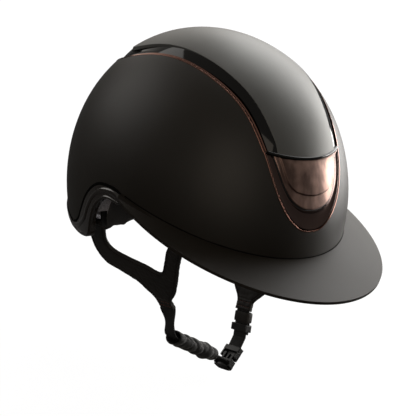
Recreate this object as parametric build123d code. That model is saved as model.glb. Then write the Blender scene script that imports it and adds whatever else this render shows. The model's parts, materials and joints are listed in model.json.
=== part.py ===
from build123d import *
import os
from math import asin, cos, degrees, radians, sin

# Riding helmet with a wide brim, a raised crown panel and a four-point chin harness.
# Millimetres. +Z is up as worn, -Y is the wearer's front, and -X is the wearer's right.
# The origin is the middle of the head opening, at the level of the shell's front edge.

# ---- shell: an egg, longer to the rear, whose widest level is just below the origin ----
WIDEST_LEVEL = -8.0
SHELL_HALF_WIDTH = 107.0
SHELL_FRONT = 128.9
SHELL_REAR = 150.0
CROWN_HEIGHT = 131.6
SHELL_WALL = 2.6
SHELL_FRONT_EDGE = 4.5
SHELL_NAPE_EDGE = -71.5
FIT = 0.3

# ---- ear notch, in side view (y, z): the shell's edge, then the lower edge of its trim ----
EAR_EDGE = [(3.0, SHELL_FRONT_EDGE), (23.1, -3.5), (35.7, -21.2), (43.8, -50.7), (58.0, -64.5)]
TRIM_FRONT_EDGE = -4.0
TRIM_EDGE = [(-9.0, TRIM_FRONT_EDGE), (8.4, -8.6), (19.1, -23.6), (21.0, -38.0), (21.8, -54.7),
             (33.0, -62.0), (58.0, -68.0)]
TRIM_NAPE_EDGE = -75.0
TRIM_PROUD = 0.4
TRIM_DEPTH = 5.5

# ---- crown opening: half widths from above (y, width), and of its shield from the front (z, width) ----
CROWN_STATIONS = [(-83.0, 41.6), (-53.7, 46.0), (-16.0, 52.2), (30.0, 55.6), (64.0, 56.6), (100.0, 52.0)]
CROWN_CORNER = (124.0, 37.0)
CROWN_REAR_END = 137.0
REAR_SLOPE_SHARE = 0.45
SHIELD_STATIONS = [(86.4, 41.6), (70.0, 38.2), (56.0, 33.6), (46.5, 28.4), (39.5, 22.6), (34.0, 15.4)]
SHIELD_TIP = 30.2
SHIELD_TOP = 110.0
PLATE_TOP = 84.0
PLATE_SPLIT = 1.2
RIM_WIDTH = 1.1
RIM_PROUD = 0.2
CHANNEL_WIDTH = 2.6
PINSTRIPE_WIDTH = 0.9
PINSTRIPE_SINK = 1.4
BEZEL_WIDTH = 6.4
BEZEL_HALF_WIDTH = 88.8
BEZEL_HEIGHT = 139.6
PANEL_PROUD = 0.9
PANEL_THICK = 2.4
CARRIER_OVERLAP = 6.0
CARRIER_WALL = 2.0
CARRIER_DEPTH = 3.0

# ---- front plate inside the shield, from the front (z, half width) ----
PLATE_STATIONS = [(72.0, 30.2), (62.7, 26.6), (54.0, 20.2)]
PLATE_TOP_WIDTH = 33.4
PLATE_TIP = 47.4
PLATE_STEP_RISE = 11.8
PLATE_STEP_INSET = 3.4
PLATE_STEP_HEIGHT = 0.9
PLATE_THICK = 2.0
PLATE_PROUD = 0.5
PLATE_GAP = 0.9
FRAME_SINK = 0.2
GRILLE_SINK = 1.6

# ---- brim ----
BRIM_SIDE_REACH = 4.5
BRIM_REACH = 137.0
BRIM_CENTRE_Y = -45.0
BRIM_TIP_Y = 3.0
BRIM_RIM_Z = 1.8
SEAM_HEIGHT = 8.2
SEAM_DIP = 4.9
BRIM_THICK = 2.6
BRIM_LINING = 1.0
LINING_SETBACK = 2.5
BRIM_TUCK = 2.0
ROOT_WIDTH = 3.0
ROOT_FLOOR = 1.0
ROOT_TOP = 6.2
SEAM_GAP = 0.5
TAPER_BACK = -30.0
TAPER_TOP = 9.4

# ---- foam liner and comfort pads ----
SIDE_FOAM = 24.2
FRONT_FOAM = 26.9
REAR_FOAM = 36.0
CROWN_FOAM = 22.6
FOAM_FRONT_EDGE = 0.5
FOAM_EDGE = [(-8.0, FOAM_FRONT_EDGE), (10.0, -5.0), (25.0, -20.0), (29.5, -36.0), (32.0, -55.0), (58.0, -63.0)]
FOAM_NAPE_EDGE = -67.0
PAD_THICK = 7.0
CROWN_PAD_FLOOR = 72.0
BROW_PAD_FLOOR = 4.0
BROW_PAD_TOP = 40.0
BROW_PAD_BACK = -46.0
NAPE_PAD_FLOOR = -58.0
NAPE_PAD_TOP = -14.0
NAPE_PAD_FRONT = 62.0
SIDE_PAD_THICK = 4.5
SIDE_PAD_EDGE = [(26.5, -54.0), (14.0, -44.5), (2.0, -36.0), (-16.0, -21.0), (-44.0, -11.5)]
SIDE_PAD_TOP = 24.0
DOT_RADIUS = 9.0
DOT_GAP = 0.8

# ---- harness: each half swings about the line through its two hangers, seen as (y, z) ----
HINGE_X = 82.0
HINGE_FRONT_Y = -60.0
HINGE_FRONT_Z = -10.0
HINGE_REAR_Y = 32.0
HINGE_REAR_Z = -50.0
LEAN_RIGHT = 35.1
LEAN_LEFT = 16.0

# ---- Y strap in its own plane: distance along the hinge line, then down from it ----
STRAP_THICK = 2.4
FRONT_ARM = (-9.5, 8.5)
REAR_ARM = (97.5, 118.5)
ARM_START = 1.5
ARM_STRAIGHT = 6.0
STRAP_FRONT_EDGE = [(12.2, 29.2), (42.2, 66.5)]
STRAP_REAR_EDGE = [(84.5, 74.2), (92.5, 65.5), (110.5, 56.8), (126.5, 50.0), (131.3, 37.0), (127.9, 21.1)]
STRAP_WINDOW = [(103.5, 14.5), (107.4, 24.0), (103.0, 31.5), (85.4, 37.4), (67.4, 41.6), (54.5, 46.2),
                (48.0, 45.3), (41.4, 40.1), (19.2, 14.2)]
TAB_CENTRE = 69.0
TAB_WIDTH = 19.2
TAB_SHOULDER = 82.0
STRAP_LENGTH = 84.5
FOLD_LENGTH = 5.0
FOLD_THICK = 3.8
PIECE_GAP = 0.1
EYE_RADIUS = 3.0
EYE_BORE = 1.5
BAR_RADIUS = 1.2
EYE_MARGIN = 0.6
HANGER_RISE = 16.0
HANGER_PLATE = 6.0
HANGER_WIDTH = 5.2
CHEEK_WALL = 2.0
CHEEK_DROP = 2.2
POCKET_MARGIN = 2.0

# ---- chin strap in the swing plane: lengths, and angles from level ----
WEBBING_WIDTH = 16.0
WEBBING_THICK = 2.0
DROP_LENGTH = 14.5
DROP_ANGLE = -79.0
ENTRY_LENGTH = 12.3
ENTRY_ANGLE = -85.0
SLEEVE_ANGLE = -24.6
SLEEVE_LENGTH = 48.6
SLEEVE_GAP = 3.4
SLEEVE_LEAD = 7.0
SLEEVE_WIDTH = 21.0
SLEEVE_HEIGHT = 13.4
SLEEVE_BORE_WIDTH = 17.6
SLEEVE_BORE_HEIGHT = 10.4
TONGUE_LEAD = 12.0
TONGUE_LEAD_ANGLE = -36.0
BEND_RADIUS = 5.0

# ---- chin buckle: a tongue with two squeeze prongs in an open-faced socket ----
BUCKLE_ANGLE = 48.0
BUCKLE_WIDTH = 20.0
BUCKLE_BACK = -3.2
BUCKLE_FACE = 3.2
BAR_LENGTH = 2.0
SLOT_LENGTH = 2.6
SLOT_WIDTH = 16.8
GUIDE_LENGTH = 6.2
GUIDE_WIDTH = 2.2
PRONG_LENGTH = 6.6
PRONG_WIDTH = 2.4
PRONG_OFFSET = 5.4
PRONG_THICK = 2.2
PRONG_BARB = 1.0
BARB_LENGTH = 2.2
PRONG_GAP = 0.3
TONGUE_CLEARANCE = 0.7
SOCKET_LENGTH = 13.0
SOCKET_FLOOR = 1.3
END_BLOCK = 4.6
END_FACE = 1.9
RAIL_WALL = 1.6
RAIL_LENGTH = 6.5
RAIL_TOP = 1.4
BAR_FACE = 0.9
BAR_BACK = -2.6

# ---- left webbing, keeper band and adjuster ----
STRAIGHT_RUN = 24.0
RUN_LEAN = 8.5
LAYER_GAP = 0.4
TAIL_START = 1.0
KEEPER_START = 1.5
KEEPER_LENGTH = 9.0
KEEPER_WALL = 0.8
ADJUSTER_START = 12.5
ADJUSTER_LENGTH = 6.5
ADJUSTER_WIDTH = 19.6
ADJUSTER_SHIFT = 0.7
ADJUSTER_WALL = 1.2
TAIL_BARE = 2.5

REACH = 400.0


# ---- helpers ----
def egg(half_width, front, rear, top):
    """A closed egg about the widest level, as deep below it as it is high above it."""
    height = top - WIDEST_LEVEL
    profile = make_face([
        EllipticalCenterArc((0, 0), rear, height, start_angle=270, arc_size=90),
        EllipticalCenterArc((0, 0), front, height, start_angle=180, arc_size=90),
        Line((-front, 0), (rear, 0)),
    ])
    ball = revolve(Plane.YZ * profile, axis=Axis.Y)
    return Pos(0, 0, WIDEST_LEVEL) * scale(ball, by=(half_width / height, 1, 1))


def dome(offset):
    """The shell's outer form, grown by offset."""
    return egg(SHELL_HALF_WIDTH + offset, SHELL_FRONT + offset, SHELL_REAR + offset, CROWN_HEIGHT + offset)


def cavity(offset):
    """The hollow inside the foam, which is measured from the shell's outer form, grown by offset."""
    return egg(SHELL_HALF_WIDTH - SIDE_FOAM + offset, SHELL_FRONT - FRONT_FOAM + offset,
               SHELL_REAR - REAR_FOAM + offset, CROWN_HEIGHT - CROWN_FOAM + offset)


def block(x, y, z):
    """A box between the two limits given for each axis."""
    size = Box(x[1] - x[0], y[1] - y[0], z[1] - z[0])
    return Pos((x[0] + x[1]) / 2, (y[0] + y[1]) / 2, (z[0] + z[1]) / 2) * size


def side_prism(edges):
    """A region drawn in side view (y, z), carried across the whole width."""
    return extrude(Plane.YZ * make_face(edges), amount=REACH, both=True)


def above_edge(curve, nape_z):
    """Everything above a lower edge that runs level, round the ear notch and back to the nape."""
    front_z = curve[0][1]
    return side_prism([
        Line((-REACH, front_z), curve[0]),
        Spline(*curve),
        Line(curve[-1], (SHELL_REAR, nape_z)),
        Line((SHELL_REAR, nape_z), (REACH, nape_z)),
        Line((REACH, nape_z), (REACH, REACH)),
        Line((REACH, REACH), (-REACH, REACH)),
        Line((-REACH, REACH), (-REACH, front_z)),
    ])


def mirrored_outline(side_points, end_tangents, top_level):
    """A closed face, the same left and right, from one side's points (x, level) down to the middle."""
    right = Spline(*side_points, tangents=end_tangents)
    flipped = [(-x, level) for x, level in side_points]
    left_tangents = [(-end_tangents[0][0], end_tangents[0][1]), (-end_tangents[1][0], end_tangents[1][1])]
    left = Spline(*flipped, tangents=left_tangents)
    edges = [right, left]
    start = side_points[0]
    if top_level != start[1]:
        edges.append(Line(start, (start[0], top_level)))
        edges.append(Line((-start[0], start[1]), (-start[0], top_level)))
    edges.append(Line((start[0], top_level), (-start[0], top_level)))
    return make_face(edges)


def drawn_in(points, inset):
    """A shield's outline points, from the top down to its tip, moved inwards by inset."""
    moved = [(points[0][0] - inset, points[0][1])]
    for before, here, after in zip(points, points[1:], points[2:]):
        run = Vector(after[0] - before[0], after[1] - before[1]).normalized()
        moved.append((here[0] + inset * run.Y, here[1] - inset * run.X))
    moved.append((0, points[-1][1] + inset))
    return moved


def crown_region(inset):
    """The crown opening drawn in by inset: its top from above, and its shield from the front."""
    points = [(width - inset, y) for y, width in CROWN_STATIONS]
    corner_y, corner_width = CROWN_CORNER
    points.append((corner_width - inset, corner_y - REAR_SLOPE_SHARE * inset))
    points.append((0, CROWN_REAR_END - REAR_SLOPE_SHARE * inset))
    seen_from_above = mirrored_outline(points, [(0.2, 1), (-1, 0)], CROWN_STATIONS[0][0])
    top = extrude(Plane.XY * seen_from_above, amount=REACH)
    points = [(width, z) for z, width in SHIELD_STATIONS]
    points = drawn_in(points + [(0, SHIELD_TIP)], inset)
    seen_from_front = mirrored_outline(points, [(-0.2, -1), (-1, 0)], SHIELD_TOP)
    shield = extrude(Plane.XZ * seen_from_front, amount=REACH)
    return top + shield


def plate_region(grow):
    """The front plate's outline, grown, carried forward from the middle of the helmet."""
    points = [(PLATE_TOP_WIDTH, PLATE_TOP)]
    points += [(width, z) for z, width in PLATE_STATIONS]
    points = drawn_in(points + [(0, PLATE_TIP)], -grow)
    return extrude(Plane.XZ * mirrored_outline(points, [(-0.2, -1), (-1, 0)], PLATE_TOP), amount=REACH)


def place(angle, length):
    """A step in the swing plane: this far, at this angle from level."""
    return Vector(length * cos(radians(angle)), length * sin(radians(angle)))


# ---- shell, crown and plate ----
above_plate = block((-REACH, REACH), (-REACH, REACH), (PLATE_TOP + PLATE_SPLIT / 2, REACH)) \
    + block((-REACH, REACH), (0, REACH), (0, REACH))
below_plate = block((-REACH, REACH), (-REACH, CROWN_STATIONS[0][0]), (0, PLATE_TOP - PLATE_SPLIT / 2))
channel_start = RIM_WIDTH + FIT
bezel_start = channel_start + CHANNEL_WIDTH
panel_start = bezel_start + BEZEL_WIDTH
over_carrier = dome(FIT - CARRIER_DEPTH)
shell_zone = above_edge(EAR_EDGE, SHELL_NAPE_EDGE)
opening = crown_region(0)

outer_shell = (dome(0) - dome(-SHELL_WALL)) & shell_zone
outer_shell -= opening

opening_rim = (dome(RIM_PROUD) - dome(-SHELL_WALL)) & (crown_region(FIT / 2) - crown_region(RIM_WIDTH))

carrier_zone = crown_region(-CARRIER_OVERLAP)
crown_carrier = (dome(-CARRIER_DEPTH) - dome(-CARRIER_DEPTH - CARRIER_WALL)) & carrier_zone

pinstripe_start = bezel_start - FIT / 2 - PINSTRIPE_WIDTH
pinstripe_ring = crown_region(pinstripe_start) - crown_region(bezel_start - FIT / 2)
bezel_pinstripe = ((dome(-PINSTRIPE_SINK) - over_carrier) & pinstripe_ring) & above_plate

bezel_form = egg(BEZEL_HALF_WIDTH, SHELL_FRONT, SHELL_REAR, BEZEL_HEIGHT) & dome(PANEL_PROUD)
bezel_ring = crown_region(bezel_start) - crown_region(panel_start)
crown_bezel = ((bezel_form - over_carrier) & bezel_ring) & above_plate

panel_zone = crown_region(panel_start + FIT / 2)
crown_panel = ((dome(PANEL_PROUD) - dome(PANEL_PROUD - PANEL_THICK)) & panel_zone) & above_plate

frame_zone = crown_region(channel_start) - plate_region(PLATE_GAP)
plate_frame = ((dome(-FRAME_SINK) - over_carrier) & frame_zone) & below_plate

plate_base = dome(PLATE_PROUD - PLATE_STEP_HEIGHT)
plate_step = dome(PLATE_PROUD) & Pos(0, 0, PLATE_STEP_RISE) * plate_region(-PLATE_STEP_INSET)
front_plate = ((plate_base + plate_step) - dome(PLATE_PROUD - PLATE_THICK)) & plate_region(0)
front_plate &= below_plate

grille_ring = plate_region(PLATE_GAP - FIT / 2) - plate_region(-PLATE_GAP)
intake_grille = ((dome(-GRILLE_SINK) - over_carrier) & grille_ring) & below_plate


# ---- brim ----
seam_level = (SEAM_HEIGHT - WIDEST_LEVEL) / (CROWN_HEIGHT - WIDEST_LEVEL)
seam_scale = (1 - seam_level ** 2) ** 0.5
seam_width = SHELL_HALF_WIDTH * seam_scale - BRIM_TUCK
seam_reach = SHELL_FRONT * seam_scale - BRIM_TUCK


def closed_plan(side, front, tip_width, z):
    """A brim plan at one level, from its right side run and front arc, closed behind."""
    face = make_face([
        side,
        front,
        mirror(front, about=Plane.YZ),
        mirror(side, about=Plane.YZ),
        Line((-tip_width, BRIM_TIP_Y), (tip_width, BRIM_TIP_Y)),
    ])
    return Pos(0, 0, z) * face


def rim_plan(setback):
    """The brim's outer edge, drawn in by setback."""
    half_width = SHELL_HALF_WIDTH + BRIM_SIDE_REACH - setback
    tip_width = SHELL_HALF_WIDTH + SEAM_GAP - setback / 2
    side = Spline((tip_width, BRIM_TIP_Y), (half_width, BRIM_CENTRE_Y),
                  tangents=[(BRIM_SIDE_REACH, BRIM_CENTRE_Y / 2), (0, -1)])
    front = EllipticalCenterArc((0, BRIM_CENTRE_Y), half_width, BRIM_REACH - setback, start_angle=270, arc_size=90)
    return closed_plan(side, front, tip_width, BRIM_RIM_Z)


def seam_plan():
    """The brim's inner edge, tucked just inside the shell."""
    waist = degrees(asin(BRIM_CENTRE_Y / seam_reach))
    tip = degrees(asin(BRIM_TIP_Y / seam_reach))
    side = EllipticalCenterArc((0, 0), seam_width, seam_reach, start_angle=waist, arc_size=tip - waist)
    front = EllipticalCenterArc((0, 0), seam_width, seam_reach, start_angle=-90, arc_size=waist + 90)
    return closed_plan(side, front, seam_width * cos(radians(tip)), SEAM_HEIGHT)


ear_taper = side_prism([
    Polyline((-REACH, TAPER_TOP), (2 * BRIM_CENTRE_Y, TAPER_TOP), (BRIM_TIP_Y, SEAM_DIP)),
    Line((BRIM_TIP_Y, SEAM_DIP), (BRIM_TIP_Y, SEAM_DIP - FIT)),
    Spline((BRIM_TIP_Y, SEAM_DIP - FIT), (TAPER_BACK, BRIM_RIM_Z - BRIM_THICK - FIT),
           tangents=[(-1, -0.28), (-1, 0)]),
    Polyline((TAPER_BACK, BRIM_RIM_Z - BRIM_THICK - FIT), (-REACH, BRIM_RIM_Z - BRIM_THICK - FIT),
             (-REACH, TAPER_TOP)),
])
rim_face = rim_plan(0)
wedge = loft([rim_face, seam_plan()], ruled=True)
slab = extrude(rim_face, amount=-BRIM_THICK)
root_back = TRIM_EDGE[0][0] - FIT
root_upper = block((-REACH, REACH), (-REACH, root_back), (ROOT_FLOOR, ROOT_TOP)) & dome(ROOT_WIDTH)
root_upper -= dome(SEAM_GAP)
root_lower = block((-REACH, REACH), (-REACH, root_back), (ROOT_FLOOR, SHELL_FRONT_EDGE - FIT)) & dome(ROOT_WIDTH)
root_lower -= dome(-SHELL_WALL)
brim = (wedge + slab) - Pos(0, 0, -BRIM_THICK) * wedge - dome(SEAM_GAP)
brim = (brim + root_upper + root_lower) & ear_taper

lining_wedge = loft([rim_plan(LINING_SETBACK), seam_plan()], ruled=True)
lining_level = -BRIM_THICK - PIECE_GAP
brim_lining = Pos(0, 0, lining_level) * lining_wedge - Pos(0, 0, lining_level - BRIM_LINING) * lining_wedge
brim_lining -= dome(ROOT_WIDTH + FIT)
brim_lining &= block((-REACH, REACH), (-REACH, TAPER_BACK), (-REACH, REACH))

# ---- edge trim ----
trim_zone = above_edge(TRIM_EDGE, TRIM_NAPE_EDGE) - Pos(0, 0, -PIECE_GAP) * shell_zone
edge_trim = ((dome(TRIM_PROUD) - dome(-TRIM_DEPTH)) & trim_zone) \
    & block((-REACH, REACH), (TRIM_EDGE[0][0], REACH), (-REACH, REACH))


# ---- harness frames ----
hinge_start = Vector(0, HINGE_FRONT_Y, HINGE_FRONT_Z)
hinge_axis = (Vector(0, HINGE_REAR_Y, HINGE_REAR_Z) - hinge_start).normalized()
hinge_up = Vector(0, -hinge_axis.Z, hinge_axis.Y)
swing_origin = hinge_start + hinge_axis * TAB_CENTRE
swing = Plane(origin=swing_origin, x_dir=(1, 0, 0), z_dir=hinge_axis * -1)


def strap_frame(side, lean):
    """A Y strap's plane: x along the hinge line to the rear, y down the strap."""
    down = hinge_up * -cos(radians(lean)) + Vector(-side * sin(radians(lean)), 0, 0)
    origin = hinge_start + Vector(side * HINGE_X, 0, 0)
    return Plane(origin=origin, x_dir=hinge_axis, z_dir=hinge_axis.cross(down))


def hinge_frame(side):
    """A frame on the hinge line: x along it, y to the wearer's right, z up off it."""
    return Plane(origin=hinge_start + Vector(side * HINGE_X, 0, 0), x_dir=hinge_axis, z_dir=hinge_up)


def axle(start, end, radius):
    """A rod along a frame's own x axis."""
    return Pos((start + end) / 2, 0, 0) * Rot(0, 90, 0) * Cylinder(radius, end - start)


def y_strap(side, lean):
    """The flat Y of the harness, with an eye at the top of each arm."""
    tab_front = TAB_CENTRE - TAB_WIDTH / 2
    tab_rear = TAB_CENTRE + TAB_WIDTH / 2
    outline = make_face([
        Spline((FRONT_ARM[0], ARM_STRAIGHT), *STRAP_FRONT_EDGE, (tab_front, TAB_SHOULDER)),
        Polyline((tab_front, TAB_SHOULDER), (tab_front, STRAP_LENGTH), (tab_rear, STRAP_LENGTH),
                 (tab_rear, TAB_SHOULDER)),
        Spline((tab_rear, TAB_SHOULDER), *STRAP_REAR_EDGE, (REAR_ARM[1], ARM_STRAIGHT)),
        Polyline((REAR_ARM[1], ARM_STRAIGHT), (REAR_ARM[1], ARM_START), (REAR_ARM[0], ARM_START),
                 (REAR_ARM[0], ARM_STRAIGHT)),
        Spline((REAR_ARM[0], ARM_STRAIGHT), *STRAP_WINDOW, (FRONT_ARM[1], ARM_STRAIGHT)),
        Polyline((FRONT_ARM[1], ARM_STRAIGHT), (FRONT_ARM[1], ARM_START), (FRONT_ARM[0], ARM_START),
                 (FRONT_ARM[0], ARM_STRAIGHT)),
    ])
    strap = extrude(outline, amount=STRAP_THICK / 2, both=True)
    for start, end in (FRONT_ARM, REAR_ARM):
        strap += axle(start, end, EYE_RADIUS)
        strap -= axle(start, end, EYE_BORE)
    return strap_frame(side, lean) * strap


def strap_tab(side, lean):
    """The folded and stitched end that joins a Y strap to its webbing."""
    start = STRAP_LENGTH + PIECE_GAP
    tab = block((TAB_CENTRE - TAB_WIDTH / 2, TAB_CENTRE + TAB_WIDTH / 2), (start, start + FOLD_LENGTH),
                (-FOLD_THICK / 2, FOLD_THICK / 2))
    return strap_frame(side, lean) * tab


def hanger(side, arm):
    """A bar between two cheeks, which holds one eye of a Y strap."""
    start = arm[0] - EYE_MARGIN
    end = arm[1] + EYE_MARGIN
    half = HANGER_WIDTH / 2
    bracket = axle(start - CHEEK_WALL, end + CHEEK_WALL, BAR_RADIUS)
    for low in (start - CHEEK_WALL, end):
        bracket += block((low, low + CHEEK_WALL), (-half, half), (-CHEEK_DROP, HANGER_RISE))
    bracket += block((start - CHEEK_WALL, end + CHEEK_WALL), (-half, half), (HANGER_RISE - HANGER_PLATE, HANGER_RISE))
    return hinge_frame(side) * bracket


def hanger_pocket(side, arm):
    """The room that the foam leaves for a hanger, its rivet and the strap's swing."""
    margin = EYE_MARGIN + CHEEK_WALL + POCKET_MARGIN
    along = (arm[0] - margin, arm[1] + margin)
    inward = HANGER_WIDTH / 2 + POCKET_MARGIN
    sides = (-inward, REACH) if side < 0 else (-REACH, inward)
    pocket = block(along, sides, (-EYE_RADIUS, HANGER_RISE + POCKET_MARGIN))
    notch = block(along, (-HINGE_X, HINGE_X), (-REACH / 4, EYE_RADIUS + POCKET_MARGIN))
    return hinge_frame(side) * (pocket + notch)


def rivet(side, arm):
    """A rivet from a hanger's head out to the shell's inner face."""
    centre = (arm[0] + arm[1]) / 2
    level = HANGER_RISE - HANGER_PLATE / 2
    start = HANGER_WIDTH / 2 + PIECE_GAP
    shank = Pos(centre, -side * (start + REACH / 8), level) * Rot(90, 0, 0) * Cylinder(HANGER_PLATE / 2, REACH / 4)
    return (hinge_frame(side) * shank) & dome(-TRIM_DEPTH - FIT)


arms = {"front": FRONT_ARM, "rear": REAR_ARM}
sides = {"right": (-1, LEAN_RIGHT), "left": (1, LEAN_LEFT)}

# ---- foam liner ----
foam_form = (dome(-SHELL_WALL - FIT) & shell_zone) + dome(-TRIM_DEPTH - FIT)
foam_liner = (foam_form & above_edge(FOAM_EDGE, FOAM_NAPE_EDGE)) - cavity(0)
foam_liner -= crown_region(-CARRIER_OVERLAP - FIT) - dome(-CARRIER_DEPTH - CARRIER_WALL - FIT)
for side, lean in sides.values():
    for arm in arms.values():
        foam_liner -= hanger_pocket(side, arm)

# ---- comfort pads ----
pad_skin = cavity(-DOT_GAP)
crown_pad = (pad_skin - cavity(-PAD_THICK)) & block((-REACH, REACH), (-REACH, REACH), (CROWN_PAD_FLOOR, REACH))
brow_pad = (pad_skin - cavity(-PAD_THICK)) & block((-REACH, REACH), (-REACH, BROW_PAD_BACK), (BROW_PAD_FLOOR, BROW_PAD_TOP))
nape_pad = (pad_skin - cavity(-PAD_THICK)) & block((-REACH, REACH), (NAPE_PAD_FRONT, REACH), (NAPE_PAD_FLOOR, NAPE_PAD_TOP))
side_pad_zone = side_prism([
    Spline(*SIDE_PAD_EDGE),
    Polyline(SIDE_PAD_EDGE[-1], (SIDE_PAD_EDGE[-1][0], SIDE_PAD_TOP), (SIDE_PAD_EDGE[0][0], SIDE_PAD_TOP),
             SIDE_PAD_EDGE[0]),
])
side_pads = (pad_skin - cavity(-SIDE_PAD_THICK)) & side_pad_zone
right_side_pad = side_pads & block((-REACH, 0), (-REACH, REACH), (-REACH, REACH))
left_side_pad = side_pads & block((0, REACH), (-REACH, REACH), (-REACH, REACH))

dot_layer = cavity(-PIECE_GAP) - cavity(PIECE_GAP - DOT_GAP)
dot_posts = Cylinder(DOT_RADIUS, REACH, align=(Align.CENTER, Align.CENTER, Align.MIN))
for side in (-1, 1):
    dot_posts += Pos(side * DOT_RADIUS * 4, 0, 0) * Cylinder(DOT_RADIUS, REACH, align=(Align.CENTER, Align.CENTER, Align.MIN))
    brow_level = (BROW_PAD_FLOOR + BROW_PAD_TOP) / 2
    nape_level = (NAPE_PAD_FLOOR + NAPE_PAD_TOP) / 2
    dot_posts += Pos(side * DOT_RADIUS * 3, 0, brow_level) * Rot(90, 0, 0) * Cylinder(
        DOT_RADIUS, REACH, align=(Align.CENTER, Align.CENTER, Align.MIN))
    dot_posts += Pos(side * DOT_RADIUS * 2, 0, nape_level) * Rot(-90, 0, 0) * Cylinder(
        DOT_RADIUS, REACH, align=(Align.CENTER, Align.CENTER, Align.MIN))
liner_dots = dot_layer & dot_posts


# ---- chin strap ----
def ribbon(points, radii):
    """Webbing along a route in the swing plane, with its bends rounded."""
    route = FilletPolyline(*points, radius=radii)
    return extrude(swing * trace(route, line_width=WEBBING_THICK), amount=WEBBING_WIDTH / 2, both=True)


webbing_start = STRAP_LENGTH + FOLD_LENGTH + PIECE_GAP + WEBBING_THICK / 4
right_end = Vector(-HINGE_X, 0) + place(LEAN_RIGHT - 90, webbing_start)
left_end = Vector(HINGE_X, 0) + place(-LEAN_LEFT - 90, webbing_start)
drop = right_end + place(DROP_ANGLE, DROP_LENGTH)
entry = drop + place(ENTRY_ANGLE, ENTRY_LENGTH)
sleeve_mouth = entry + place(SLEEVE_ANGLE, SLEEVE_GAP)
sleeve_exit = sleeve_mouth + place(SLEEVE_ANGLE, SLEEVE_LENGTH)
lead = sleeve_exit + place(SLEEVE_ANGLE, SLEEVE_LEAD)
tongue = lead + place(TONGUE_LEAD_ANGLE, TONGUE_LEAD)
buckle = swing.location * Pos(tongue.X, tongue.Y, 0) * Rot(0, 0, BUCKLE_ANGLE)


def in_buckle(along, out):
    """A point of the swing plane given along the buckle and out of its face."""
    return tongue + place(BUCKLE_ANGLE, along) + place(BUCKLE_ANGLE + 90, out)


base_half = SLOT_LENGTH / 2 + BAR_LENGTH
wrap = WEBBING_THICK / 2 + LAYER_GAP
right_webbing = ribbon(
    [right_end, drop, entry, lead, in_buckle(0, BUCKLE_FACE + 2 * wrap), in_buckle(0, BUCKLE_BACK - wrap),
     in_buckle(-base_half - wrap, BUCKLE_BACK - wrap), in_buckle(-base_half - wrap, BUCKLE_FACE)],
    [BEND_RADIUS * 2, BEND_RADIUS, BEND_RADIUS, wrap, wrap, wrap])

sleeve_place = swing.location * Pos(sleeve_mouth.X, sleeve_mouth.Y, 0) * Rot(0, 0, SLEEVE_ANGLE)
sleeve_skin = extrude(Plane.YZ * Ellipse(SLEEVE_HEIGHT / 2, SLEEVE_WIDTH / 2), amount=SLEEVE_LENGTH)
sleeve_bore = extrude(Plane.YZ * Ellipse(SLEEVE_BORE_HEIGHT / 2, SLEEVE_BORE_WIDTH / 2), amount=SLEEVE_LENGTH)
chin_sleeve = sleeve_place * (sleeve_skin - sleeve_bore)

# ---- chin buckle, drawn along its length, out of its face and across it ----
half_buckle = BUCKLE_WIDTH / 2
across = (-half_buckle, half_buckle)
half_slot = SLOT_LENGTH / 2

tongue_base = block((half_slot, base_half), (BUCKLE_BACK, BUCKLE_FACE), across)
for sign in (-1, 1):
    edges = sorted([sign * SLOT_WIDTH / 2, sign * half_buckle])
    tongue_base += block((-base_half, half_slot), (BUCKLE_BACK, BUCKLE_FACE), edges)
tongue_base += block((-base_half, -half_slot), (BAR_BACK, BAR_FACE), across)
half_prong = PRONG_THICK / 2
tongue_base += block((half_slot, base_half + GUIDE_LENGTH), (-half_prong, half_prong), (-GUIDE_WIDTH / 2, GUIDE_WIDTH / 2))
buckle_tongue = buckle * tongue_base


def prong(sign):
    """A springy prong with a round root to bend about and an outward barb at its tip."""
    start = base_half + PRONG_GAP + PRONG_WIDTH / 2
    end = base_half + PRONG_GAP + PRONG_LENGTH
    inner = PRONG_OFFSET - PRONG_WIDTH / 2
    outer = PRONG_OFFSET + PRONG_WIDTH / 2
    points = [(start, inner), (end, inner), (end, outer), (end - BARB_LENGTH, outer + PRONG_BARB),
              (end - BARB_LENGTH, outer), (start, outer)]
    outline = make_face(Polyline(*points, close=True)) + Pos(start, PRONG_OFFSET) * Circle(PRONG_WIDTH / 2)
    arm = extrude(Plane.XY * outline, amount=half_prong, both=True)
    return buckle * (Rot(sign * 90, 0, 0) * arm)


socket_start = base_half + TONGUE_CLEARANCE
socket_end = socket_start + SOCKET_LENGTH
pocket_end = socket_end - END_BLOCK
floor_face = BUCKLE_BACK + SOCKET_FLOOR
buckle_socket = buckle * block((pocket_end, socket_end), (BUCKLE_BACK, END_FACE), across)
socket_floor = buckle * block((socket_start, pocket_end), (BUCKLE_BACK, floor_face), across)


def socket_rail(sign):
    """A side wall of the socket, standing on its floor against the end block."""
    edges = sorted([sign * (half_buckle - RAIL_WALL), sign * half_buckle])
    return buckle * block((pocket_end - RAIL_LENGTH, pocket_end), (floor_face, RAIL_TOP), edges)

# ---- left webbing, its tail, the keeper band and the adjuster ----
run_angle = -90 - RUN_LEAN
run_end = left_end + place(run_angle, STRAIGHT_RUN)
left_webbing = ribbon([left_end, run_end, in_buckle(socket_end + FIT, 0)], BEND_RADIUS)
run_place = swing.location * Pos(left_end.X, left_end.Y, 0) * Rot(0, 0, run_angle)
half_web = WEBBING_THICK / 2
half_width = WEBBING_WIDTH / 2
layers = (-half_web, half_web + LAYER_GAP + WEBBING_THICK)
tail_end = ADJUSTER_START + ADJUSTER_LENGTH + TAIL_BARE
webbing_tail = run_place * block((TAIL_START, tail_end), (half_web + LAYER_GAP, layers[1]), (-half_width, half_width))


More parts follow.
